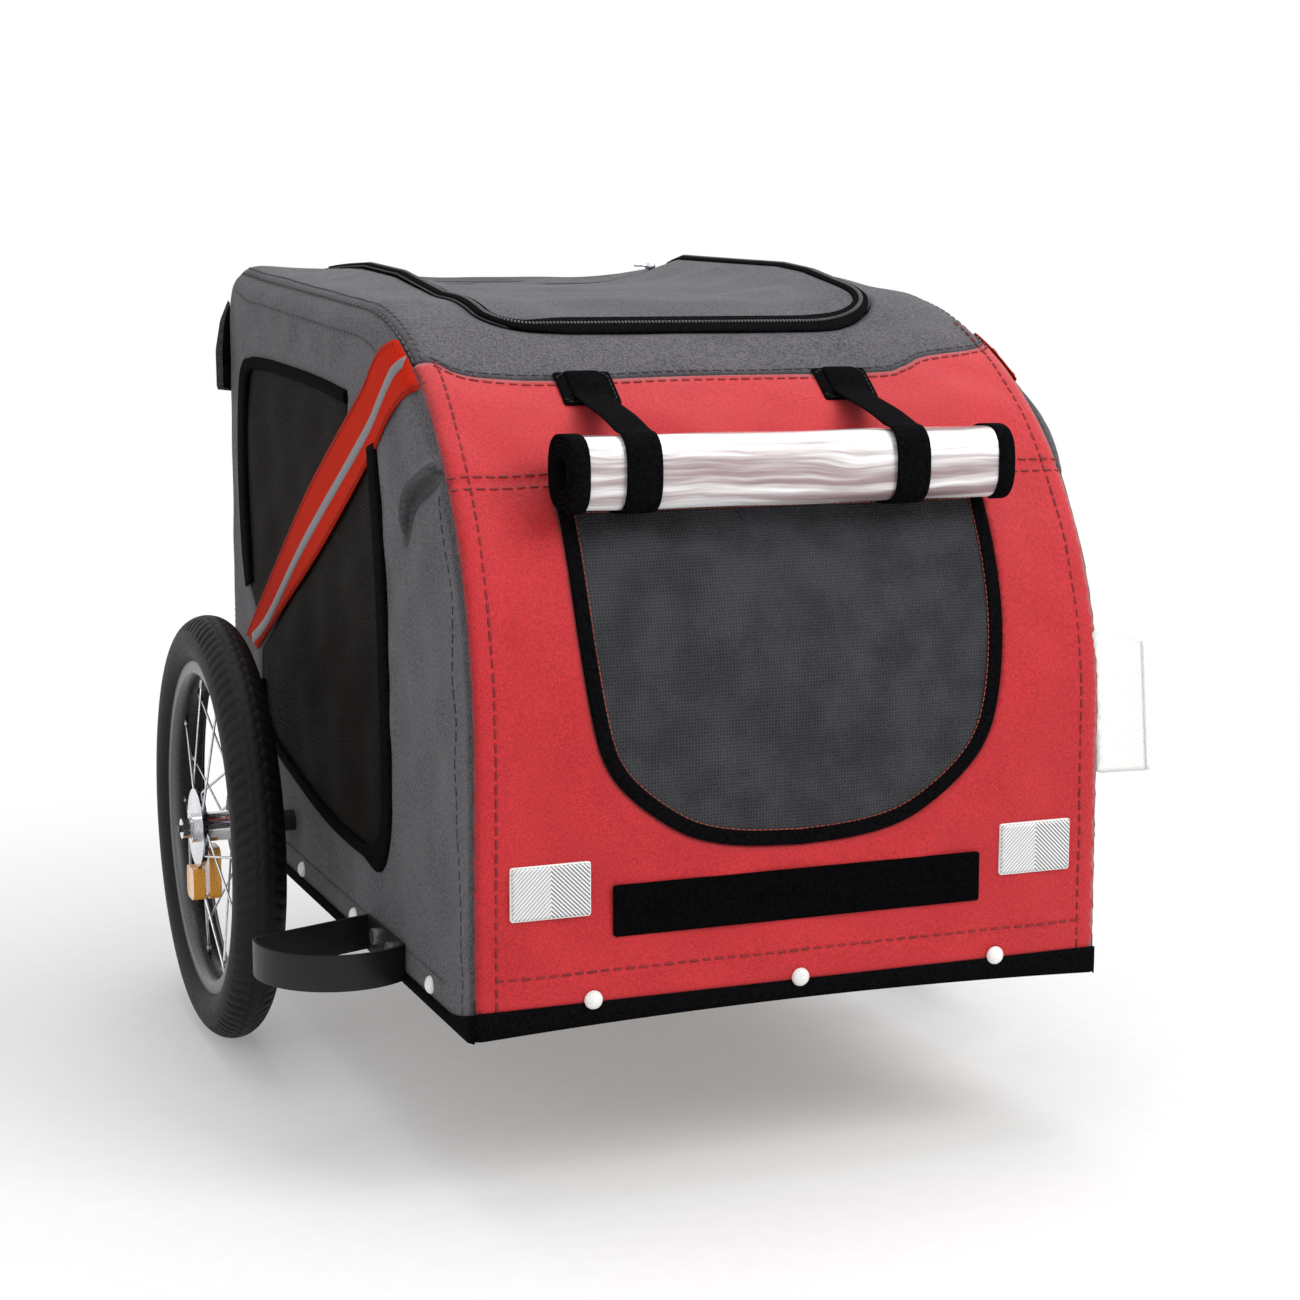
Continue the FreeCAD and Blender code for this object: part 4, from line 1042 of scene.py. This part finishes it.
for side, _, mark in SIDES:
    flaps.append(panel(mark + "_rear_flap", FLAP, [], on_flap(side), GREY, 5.0, flip=side > 0))
    # Painted shadow: the black strip stands for the shade between the flap and the wall.
    flap_shadow_strips.append(panel(mark + "_rear_flap_strip", FLAP_SHADOW_STRIP, [], on_flap(side), WEBBING, 5.0, 1.0,
                             base=1.2, flip=side > 0))

# Skirt along the foot, high at the front and the rear, thin along the sides
SKIRT_HALF, SKIRT_TOP, SKIRT_END, SKIRT_FOOT, SKIRT_SIDE = 270.6, 26.0, 2.0, 141.5, 151.0
across = np.linspace(-SKIRT_HALF, SKIRT_HALF, 61)
skirt_low = np.stack([across, 11.0 - 7.0 * (across / 270.0) ** 2], -1)
skirt_high = np.stack([across[::-1], np.full(61, SKIRT_TOP)], -1)
skirt_front = np.concatenate([skirt_low, skirt_high])
skirt_rear = skirt_front * np.array([1.0, -1.0]) + np.array([0.0, S_END])
along = np.linspace(FRONT + SKIRT_END, REAR - SKIRT_END, 80)
back = np.linspace(REAR - SKIRT_END, FRONT + SKIRT_END, 80)
front_rise = 14.0 * np.maximum(0.0, 1 - (back - FRONT) / 62.0) ** 1.5
rear_rise = 12.0 * np.maximum(0.0, 1 - (REAR - back) / 40.0) ** 1.5
skirt_side = np.concatenate([np.stack([along, np.full(80, SKIRT_FOOT)], -1),
                             np.stack([back, SKIRT_SIDE + front_rise + rear_rise], -1)])
skirts = [panel(part + "_skirt", outline, [], place, WEBBING, step, 1.4, base=1.4, flip=part == "right")
          for part, outline, place, step in (
              ("front", skirt_front, on_band, 5.0), ("rear", skirt_rear, on_band, 6.0),
              ("left", skirt_side, on_left, 5.0), ("right", skirt_side, on_right, 5.0))]


# Zip of the hatch, rain cover roll, straps and front trim

def zip_taper(x):
    """Share of the zip's full width: wide along the front, narrow along the sides."""
    return np.interp(np.abs(x), [120.0, 172.0], [1.0, 0.42])


zip_loop = hatch_loop(9.0, 14.0)
zip_path = np.concatenate([zip_loop[-1:], zip_loop[:-1]])
zip_tape = tapes("hatch_zip_tape", [zip_path], on_hatch, 32.0, 2.4, WEBBING, False, -0.8, taper=zip_taper)
zip_teeth = stitches("hatch_zip_teeth", [(zip_path, on_hatch, 2.6)], COIL, TOOTH, 3.0, 0.0)
SLIDER_X, SLIDER_S = 154.0, float(s_roof(306.0))
slider_at = on_hatch(SLIDER_X, SLIDER_S, 3.5)
pull_at = slider_at + np.array([-9.0, 0.0, 1.0])
slider = spread_pieces(
    "hatch_zip_slider", [slider_at, pull_at], [(0.0, 1.0, 0.0), (-1.0, 0.1, 0.0)], (0.0, 0.0, 1.0),
    [(14.0, 8.0, 7.0), (17.0, 6.0, 2.5)], ROD, CHROME)
ROLL_Y, ROLL_Z, ROLL_TURNS, ROLL_START, ROLL_OVAL = -376.0, 570.0, 4.6, 0.6, 0.05
FILM_HALF, FILM_ROWS, FILM_COLUMNS = 177.0, 260, 61


def roll_spiral(inner, outer, steps):
    """A rolled sheet seen from its end: angles, radii and the run along the sheet."""
    t = np.linspace(0, 1, steps)
    angle = 2 * math.pi * ROLL_TURNS * t + ROLL_START
    r = (inner + (outer - inner) * t) * (1 - ROLL_OVAL * np.cos(4 * angle))
    run = np.concatenate([[0], np.cumsum(np.hypot(np.diff(r), r[1:] * np.diff(angle)))])
    return angle, r, run


def on_roll(x, r, angle):
    return stack3(x, ROLL_Y + r * np.cos(angle)[:, None], ROLL_Z + r * np.sin(angle)[:, None]).reshape(-1, 3)


def roll_film():
    """The clear sheet of the roll, a little uneven along its length."""
    angle, r, run = roll_spiral(12.0, 31.0, FILM_ROWS)
    x = np.linspace(-FILM_HALF, FILM_HALF, FILM_COLUMNS)[None, :]
    turn = angle[:, None]
    ripple = 0.35 * np.sin(x / 23 + 3 * turn) + 0.3 * np.sin(x / 57 - turn)
    verts = on_roll(x, r[:, None] + ripple, angle)
    corners = (0, 1, FILM_COLUMNS + 1, FILM_COLUMNS)
    faces = [[row * FILM_COLUMNS + at + corner for corner in corners]
             for row in range(FILM_ROWS - 1) for at in range(FILM_COLUMNS - 1)]
    cloth = stack3(x, run[:, None], FREE).reshape(-1, 3)
    return made_object("rain_cover_film", verts, faces, FILM, {"cloth": cloth}), run[-1]


def roll_end(low, high):
    """The bound edge of the sheet, rolled up with it."""
    angle, r, run = roll_spiral(14.0, 31.2, 230)
    spots = [(-1.5, low), (-1.5, high), (-0.6, high + 0.6), (0.6, high + 0.6), (1.5, high), (1.5, low),
             (0.6, low - 0.6), (-0.6, low - 0.6)]
    off, x = np.array(spots).T
    return (on_roll(x, r[:, None] + off, angle), ring_faces(len(angle), len(spots), False),
            stack3(run[:, None], x[None, :], FREE).reshape(-1, 3))


film, film_run = roll_film()
roll_ends = outward(joined("rain_cover_bindings", [roll_end(-187.0, -174.0), roll_end(174.0, 187.0)],
                           WEBBING))


STRAP_X, STRAP_R, STRAP_WIDE, STRAP_THICK = (-130.5, 96.5), 31.9, 29.0, 1.6


def strap(x):
    """A flat strap from its patch over the roll's front and under it."""
    on_cloth = [tuple(on_band(0.0, s, 2.6)[1:]) for s in (548.0, 534.0, 520.0)]
    over = [(-322.0, 616.0), (-352.0, 609.5)]
    around = []
    for deg in (*range(100, 281, 20), 298):
        angle = math.radians(deg)
        reach = STRAP_R * (1 - ROLL_OVAL * math.cos(4 * angle)) + 0.6
        around.append((ROLL_Y + reach * math.cos(angle), ROLL_Z + reach * math.sin(angle)))
    step = 4.0
    path = resampled(curve(on_cloth + over + around), step, False)
    ahead = headings(path, False)
    wide, high = tape_section(STRAP_WIDE, STRAP_THICK, 0.0).T
    verts = stack3(x + wide, path[:, None, 0] + ahead[:, None, 1] * high,
                   path[:, None, 1] - ahead[:, None, 0] * high)
    run = np.arange(len(path)) * step
    return (verts.reshape(-1, 3), ring_faces(len(path), len(wide), False),
            stack3(run[:, None], wide, FREE).reshape(-1, 3))


straps = outward(joined("rain_cover_straps_woven", [strap(x) for x in STRAP_X], WEBBING))


def box_loop(low, high, radius):
    return rounded([(low[0], low[1]), (high[0], low[1]), (high[0], high[1]), (low[0], high[1])], radius)


def plate(name, low, high, material, step, thick, base, radius=1.0):
    """A flat rectangle on the front cloth."""
    return panel(name, box_loop(low, high, radius), [], on_band, material, step, thick, base=base)


patches = [plate(mark + "_patch", (x - 24.0, 510.0), (x + 24.0, 549.0), WEBBING, 3.0, 1.2, 2.0)
           for x, mark in zip(STRAP_X, ("left", "right"))]
strip = plate("fastening_strip", (-158.5, 76.0), (158.5, 116.5), LOOP, 3.0, 1.6, 2.0)
lenses, lens_plates = [], []
LENS_HALF, LENS_LOW, LENS_HIGH, LENS_RIM = 32.5, 95.0, 137.5, 1.2
for side, _, mark in SIDES:
    low, high = side * REFLECTOR_X - LENS_HALF, side * REFLECTOR_X + LENS_HALF
    lens_plates.append(plate(mark + "_reflector_plate", (low, LENS_LOW), (high, LENS_HIGH), WHITE, 2.5, 1.8,
                             1.8, 1.2))
    lenses.append(plate(mark + "_reflector_lens", (low + LENS_RIM, LENS_LOW + LENS_RIM),
                        (high - LENS_RIM, LENS_HIGH - LENS_RIM), SILVER, 2.5, 1.6, 3.2, 0.8))


TAG_IN, TAG_OUT, TAG_LOW, TAG_HIGH = -7.0, 40.0, 310.0, 430.0


def on_tag(a, z, out=0.0):
    """The tag stands out from the right wall by the front corner, a little askew and bent to the front."""
    a, z = floats(a, z)
    droop = 0.25 * np.clip(a, 0, 60) * (z - TAG_LOW) / (TAG_HIGH - TAG_LOW)
    return stack3(half(z) + a + 0.06 * (TAG_HIGH - z), FRONT + 8.0 - 6.0 * (a / 45.0) ** 2 + out, z - droop)


tag = panel("bare_tag", box_loop((TAG_IN, TAG_LOW), (TAG_OUT, TAG_HIGH), 1.0), [], on_tag, TAG, 5.0)
tag_fold = tapes("tag_fold", [[(TAG_OUT - 1, TAG_LOW + 1), (TAG_OUT - 1, TAG_HIGH - 1)]], on_tag, 3.0, 1.3, TAG,
                 False, under=-2.4)


# Rows of stitches

def laid_on(place, relief, outline, holes):
    """Places on a panel's cloth with its folds, for what is sewn on it."""
    loops = [resampled(loop, 5.0, True) for loop in [outline] + holes]

    def laid(u, v, out=0.0):
        u, v = floats(u, v)
        edge = np.minimum(loop_distance(np.stack([u.ravel(), v.ravel()], -1), loops), FREE)
        return place(u, v, out + relief(u, v, edge.reshape(u.shape)))
    return laid


on_front = laid_on(on_band, front_relief, front_outline, [DOOR])
on_roof = laid_on(on_band, roof_relief, roof_outline, [hatch_loop(0, 0)])
sewn_left = laid_on(on_left, wall_relief, WALL, WINDOWS)
sewn_right = laid_on(on_right, right_relief, WALL, WINDOWS)
EDGE_IN, SEAM_PAIR, THREAD_LIFT = 17.0, 5.5, 0.3
red_line = RED_TOP[12:-12]
edge_rows = [(side_run(side, 30.0, top - 8.0) - np.array([side * EDGE_IN, 0.0]), on_front, THREAD_LIFT)
             for side, top in ((-1, S_LEFT), (1, S_RIGHT))]
for half_row, s in ((250.0, 50.0), (262.0, S_MID - SEAM_PAIR), (262.0, S_MID + SEAM_PAIR)):
    edge_rows.append(([(-half_row, s), (half_row, s)], on_front, THREAD_LIFT))
edge_rows.append((red_line - np.array([0.0, 6.0]), on_front, 0.4))
red_rows = stitches("red_stitches", edge_rows, THREAD_RED)
roof_rows = [(red_line + np.array([0.0, 6.0]), on_roof, 0.4)]
for side, start in ((-1, 580.0), (1, 636.0)):
    run = side_run(side, start, S_CORNER)
    for margin in (8.0, 1.5):
        roof_rows.append((run - np.array([side * margin, 0.0]), on_roof, THREAD_LIFT))
WALL_SEAM = setback([(74, 548), (67, 523), (52, 491), (46, 469), (40, 401), (31, 248), (27, 202), (26, 160)])
LOW_EDGE = profile_inset(1.0)[(LINE_S > 640) & (LINE_S < S_CORNER)]
for place in (sewn_left, sewn_right):
    for path in (curve(WALL_SEAM), LOW_EDGE, [(-340.0, 172.0), (395.0, 172.0)]):
        roof_rows.append((path, place, 0.4))
grey_rows = stitches("grey_stitches", roof_rows, THREAD_GREY)
rear_rows = [([(REAR - 5.0, 590.0), (REAR - 5.0, 190.0)], place, 0.6) for place in (on_left, on_right)]
overlock = stitches("rear_edge_stitches", rear_rows, THREAD_GREY, FINE_STITCH, 6.0)
band_rows = [(path, place, 2.4) for place in (on_left, on_right)
             for path in (BAND_LOW + np.array([0.0, 4.0]), BAND_HIGH - np.array([0.0, 4.0]))]
band_stitches = stitches("band_stitches", band_rows, THREAD_RED, FINE_STITCH, 5.0)
trim_rows = [(box_loop((x - 21.0, 513.0), (x + 21.0, 546.0), 2.0), on_band, 2.2) for x in STRAP_X]
trim_stitches = stitches("trim_stitches", trim_rows, THREAD_DARK, FINE_STITCH, 5.0)
door_stitches = stitches("door_stitches", [(shrunk(DOOR, 12.2), on_band, 0.6)], THREAD_RUST, FINE_STITCH, 4.6)

# Rivets: white domes through the skirt
RIVETS_ACROSS, RIVETS_ALONG = (-175.0, 0.0, 175.0), (0.132, 0.416, 0.645, 0.90)
END_RIVET_Z, SIDE_RIVET_Z, RIVET_SIZE = 167.0, 160.0, (15.0, 15.0, 5.0)
rivet_spots, rivet_outs = [], []
for x in RIVETS_ACROSS:
    for y, way in ((FRONT - 1.2, -1.0), (REAR + 1.2, 1.0)):
        rivet_spots.append((x, y, END_RIVET_Z))
        rivet_outs.append((0.0, way, 0.0))
for share in RIVETS_ALONG:
    for way in (-1.0, 1.0):
        rivet_spots.append((way * float(half(SIDE_RIVET_Z)), FRONT + share * (REAR - FRONT), SIDE_RIVET_Z))
        rivet_outs.append((way, 0.0, 0.0))
rivets = spread_pieces("foot_rivet_heads", rivet_spots, (0.0, 0.0, 1.0), rivet_outs, RIVET_SIZE, DOME, WHITE)


# Wheels

AXLE_Y, WHEEL_R, WHEEL_X = 157.0, 200.0, 345.0
RING_R, TYRE_R, TYRE_WALL, BEAD_DEG, TREAD_BLOCKS = 176.0, 24.0, 4, 141, 96
RIM_HALF = [(12.0, 158.0), (15.0, 158.5), (16.0, 157.0), (16.2, 154.0), (16.2, 148.0), (15.6, 146.4),
            (15.2, 146.0), (13.0, 144.0), (7.0, 142.2), (0.0, 141.8)]
RIM_LINE = (RIM_HALF + [(-x, r) for x, r in RIM_HALF[-2::-1]]
            + [(-11.0, 152.0), (11.0, 152.0), (12.0, 158.0)])
RIM_STEPS, BARE_FROM = 128, 12.5
SPOKES, CROSS_DEG, SPOKE_WIDE, PAIR_GAP = 20, 38, 2.3, 1.25
HUB_HOLES, RIM_HOLES = (18.5, 35.5), (3.3, 143.0)      # x from the wheel's middle, radius
NIPPLE = (12.0, 4.2, 4.2)
REFLECTOR_FOOT, REFLECTOR_THICK = 131.0, 11.0


def stands_for(piece, body, slot, *nodes):
    """Attaches a piece to the body it rides on and hides the CAD nodes that it replaces; its material slot is
    not used.
    """
    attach(piece, body)
    if nodes:
        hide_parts(*nodes)


def tyre_tread(turn, x, r):
    """Curved grooves on both shoulders and a wavy pair beside the middle rib."""
    reach = np.hypot(x, r - RING_R)
    lean = np.degrees(np.arctan2(np.abs(x), r - RING_R))
    phase = turn * TREAD_BLOCKS / (2 * math.pi) + lean / 70.0 + 0.5 * (x > 0)
    gap = np.abs((phase % 1.0) - 0.5)
    cut = held(0.22 - gap, 0.08) * (0.75 + 0.25 * np.sin(11 * turn + 3 * np.sin(5 * turn)))
    zone = held(lean - 21, 4) * held(66 - lean, 8)
    rib = np.clip(1 - np.abs(lean - 13 - 3 * np.sin(2 * math.pi * phase)) / 3.5, 0, 1)
    return -(2.6 * cut * zone + 1.3 * rib) * (reach > TYRE_R - 2)


def tyre_arc(radius, low, high, count):
    return [(radius * math.sin(a), RING_R + radius * math.cos(a))
            for a in np.radians(np.linspace(low, high, count))]


def on_upright(x):
    """Places (y, z) on an upright plane at x."""
    return lambda y, z, out=0.0: stack3(x + out, np.asarray(y, float), np.asarray(z, float))


def lens_relief(y, z, edge):
    return -1.5 * np.exp(-edge / 3)


def wheel_pieces(side, mark):
    body, centre = "wheel_" + mark, (side * WHEEL_X, AXLE_Y, WHEEL_R)
    section = (tyre_arc(TYRE_R, -BEAD_DEG, BEAD_DEG, 61)
               + tyre_arc(TYRE_R - TYRE_WALL, BEAD_DEG, -BEAD_DEG, 15))
    verts, faces = revolved(section + section[:1], 768, centre, tyre_tread)
    tyre = outward(made_object("tyre_" + mark + "_rubber", verts, faces, TYRE))
    verts, faces = revolved(RIM_LINE, RIM_STEPS, centre)
    bare = np.array([1.0 if abs(x) > BARE_FROM and r < 158 else 0.0 for x, r in RIM_LINE])
    rim = outward(made_object("rim_" + mark + "_two_tone", verts, faces, RIM,
                              {"bare": np.tile(bare, RIM_STEPS)}))
    middles, alongs, sizes, ends = [], [], [], []
    for index in range(SPOKES):
        flange = -1 if index % 2 else 1
        lean = 1 if index % 4 < 2 else -1
        rim_deg = 360 / SPOKES * index
        start, end = (np.array([-side * (flange * x + lean * PAIR_GAP), r * math.sin(math.radians(deg)),
                                r * math.cos(math.radians(deg))])
                      for (x, r), deg in ((HUB_HOLES, rim_deg + CROSS_DEG * lean), (RIM_HOLES, rim_deg)))
        long = np.linalg.norm(end - start)
        middles.append((start + end) / 2 + centre)
        alongs.append((end - start) / long)
        sizes.append((long, SPOKE_WIDE, SPOKE_WIDE))
        ends.append(end + centre - alongs[-1] * 5.0)
    spokes = spread_pieces("spokes_" + mark + "_wire", middles, alongs, (1.0, 0.0, 0.0), sizes, ROD, CHROME)
    nipples = spread_pieces("spoke_nipples_" + mark, ends, alongs, (1.0, 0.0, 0.0), NIPPLE, ROD, ZINC)
    stands_for(tyre, body, "tyre_rubber", "tyre_" + mark)
    stands_for(rim, body, "rim_metal", "rim_" + mark)
    stands_for(spokes, body, "chrome", "spokes_" + mark)
    stands_for(nipples, body, "zinc_steel")
    for shift, top, part in ((19.5, 162.0, "outer"), (4.0, 181.0, "inner")):
        loop = box_loop((AXLE_Y - 12.0, REFLECTOR_FOOT), (AXLE_Y + 20.0, top), 6.0)
        lens = panel("spoke_reflector_" + mark + "_" + part, loop, [], on_upright(side * (WHEEL_X + shift)),
                     AMBER, 4.0, REFLECTOR_THICK, lens_relief, REFLECTOR_THICK / 2)
        stands_for(lens, body, "amber_plastic", "spoke_reflector_" + mark)


for side, _, mark in SIDES:
    wheel_pieces(side, mark)

# CAD pieces, each with the material of its slot
SLOT_MATERIALS = {
    "coated_steel": COATED, "zinc_steel": ZINC, "chrome": CHROME, "tube_rubber": TUBE, "amber_plastic": AMBER,
    "black_plastic": BLACK, "floor_ply": PLY, "red_oxford": RED, "grey_oxford": GREY,
    "black_webbing": WEBBING, "black_mesh": MESH, "grey_tape": TAPE, "white_tag": TAG, "clear_pvc": FILM,
    "rim_metal": RIM, "tyre_rubber": TYRE, "silver_reflector": SILVER, "white_plastic": WHITE}
for entry in frame["record"]["subparts"]:
    node = frame["nodes"][entry["node"]]
    node.data.materials.clear()
    node.data.materials.append(SLOT_MATERIALS[entry["material_slot"]])


def cloth_piece(piece, body, slot, nodes):
    """A piece that is a sheet, attached to its body in place of the CAD nodes that it replaces."""
    stands_for(piece, body, slot, *nodes)


cloth_piece(front, "base", "red_oxford", ["front_panel"])
cloth_piece(roof, "base", "grey_oxford", ["roof_panel"])
cloth_piece(rear, "base", "grey_oxford", ["rear_panel"])
cloth_piece(left, "base", "grey_oxford", ["side_wall_left"])
cloth_piece(right, "base", "grey_oxford", ["side_wall_right"])
cloth_piece(hatch, "hatch", "grey_oxford", ["roof_hatch"])
cloth_piece(door_mesh, "front_door", "black_mesh", ["front_door_mesh"])
for piece in window_meshes:
    cloth_piece(piece, "base", "black_mesh", ["side_meshes"])
for piece, wall in zip(bands, ("side_wall_left", "side_wall_right")):
    cloth_piece(piece, "base", "red_oxford", ["diagonal_bands"])
for piece in skirts:
    cloth_piece(piece, "base", "black_webbing", ["base_skirt"])
cloth_piece(film, "base", "clear_pvc", ["rain_cover_roll"])
cloth_piece(strip, "base", "black_webbing", ["cover_fastening_strip"])
for piece in patches:
    cloth_piece(piece, "base", "black_webbing", ["strap_patches"])
cloth_piece(tag, "base", "white_tag", ["side_tag"])
stands_for(tag_fold, "base", "white_tag")
for piece in flaps:
    cloth_piece(piece, "base", "grey_oxford", [])
# The black strips are painted shadow inside the rear flaps.
for piece in flap_shadow_strips:
    cloth_piece(piece, "base", "black_webbing", [])
stands_for(door_tape, "front_door", "black_webbing", "front_door_binding")
stands_for(door_stitches, "front_door", "black_webbing")
stands_for(zip_tape, "hatch", "black_webbing", "roof_hatch_zip_tape")
stands_for(zip_teeth, "hatch", "black_plastic")
stands_for(slider, "hatch", "chrome", "roof_hatch_zip_slider")
for piece in window_tapes:
    stands_for(piece, "base", "black_webbing", "side_bindings")
for piece in band_tapes:
    stands_for(piece, "base", "grey_tape", "diagonal_tapes")
stands_for(roll_ends, "base", "black_webbing", "rain_cover_end_bindings")
stands_for(straps, "base", "black_webbing", "rain_cover_straps")
for piece in lenses:
    stands_for(piece, "base", "silver_reflector", "front_reflectors")
for piece in lens_plates:
    stands_for(piece, "base", "white_plastic")
for piece in (red_rows, band_stitches):
    stands_for(piece, "base", "red_oxford")
for piece in (grey_rows, overlock):
    stands_for(piece, "base", "grey_oxford")
stands_for(trim_stitches, "base", "black_webbing")
stands_for(rivets, "base", "white_plastic", "foot_rivets")
for piece in PATTERNS:
    bpy.data.objects.remove(piece, do_unlink=True)


# Studio: pale floor that runs into a white ground, soft light from the front right and above

def ground_rays(look):
    """1 for the rays that meet the white ground: the camera's own, and those from gloss and clear film."""
    path = add(look.tree, "ShaderNodeLightPath").outputs
    passed_on = look.math("MAXIMUM", path["Is Glossy Ray"], path["Is Transmission Ray"])
    return look.math("MAXIMUM", path["Is Camera Ray"], passed_on)


def studio_floor():
    """Pale paper that takes the soft shadow; to the camera it fades into the white ground."""
    look = Look(bpy.data.materials.new("studio_floor"))
    place = look.place()
    far = look.node("VectorMath", {"operation": "LENGTH"}, {0: place}, "Value")
    grain = look.noise(place, 20.0)
    paper = look.surface({"Base Color": look.mix(grain, "f1f1f1", "f8f8f8"), "Roughness": 0.9,
                          "Specular IOR Level": 0.0})
    white = look.node("Emission", None, {"Color": srgb("ffffff"), "Strength": 1.0})
    share = look.math("MULTIPLY", ground_rays(look), look.ramp(far, 500.0, 1400.0, 0.25, 1.0))
    return look.done(look.node("MixShader", None, {0: share, 1: paper, 2: white}))


FLOOR_HALF = 6000
FLOOR = [(x * FLOOR_HALF, y * FLOOR_HALF, 0) for x, y in ((-1, -1), (1, -1), (1, 1), (-1, 1))]
floor = made_object("floor", FLOOR, [(0, 1, 2, 3)], studio_floor())


def white_world():
    """White to the camera and in reflections, softer as light."""
    look = Look(bpy.data.worlds.new("studio"))
    level = look.ramp(ground_rays(look), 0.0, 1.0, 0.55, 1.0)
    light = look.node("Background", None, {"Color": srgb("ffffff"), "Strength": level})
    bpy.context.scene.world = look.done(light, "ShaderNodeOutputWorld")


def softbox(name, place, size, power):
    """A square lamp aimed at the middle of the trailer."""
    data = bpy.data.lights.new(name, "AREA")
    data.shape = "RECTANGLE"
    data.size = data.size_y = size
    data.energy = power
    lamp = bpy.data.objects.new(name, data)
    lamp.location = place
    lamp.rotation_euler = (Vector((0.0, 0.0, 0.4)) - Vector(place)).to_track_quat("-Z", "Y").to_euler()
    bpy.context.scene.collection.objects.link(lamp)


white_world()
softbox("key", (1.6, -2.4, 2.6), 1.8, 70.0)
softbox("top", (0.2, 0.2, 3.0), 2.2, 37.0)
softbox("fill", (-2.4, -1.8, 1.6), 1.6, 10.0)
EYE, YAW_DEG, PITCH_DEG = (-0.8303, -2.1933, 0.7261), 21.5, 8.6
FOCAL_PX, IMAGE_PX, SENSOR = 2550.0, 1300.0, 36.0


def photo_camera():
    """The photograph's viewpoint, found from the wheel and the cabin's edges."""
    yaw, pitch = math.radians(YAW_DEG), math.radians(PITCH_DEG)
    ahead = Vector((math.sin(yaw) * math.cos(pitch), math.cos(yaw) * math.cos(pitch), -math.sin(pitch)))
    side = Vector((math.cos(yaw), -math.sin(yaw), 0.0))
    up = side.cross(ahead)
    data = bpy.data.cameras.new("photo_view")
    data.sensor_width = SENSOR
    data.lens = SENSOR * FOCAL_PX / IMAGE_PX
    seen = bpy.data.objects.new("photo_view", data)
    turn = Matrix((side, up, -ahead)).transposed().to_4x4()
    seen.matrix_world = Matrix.Translation(Vector(EYE)) @ turn
    bpy.context.scene.collection.objects.link(seen)
    bpy.context.scene.camera = seen


photo_camera()
bpy.context.scene.view_settings.view_transform = "Standard"
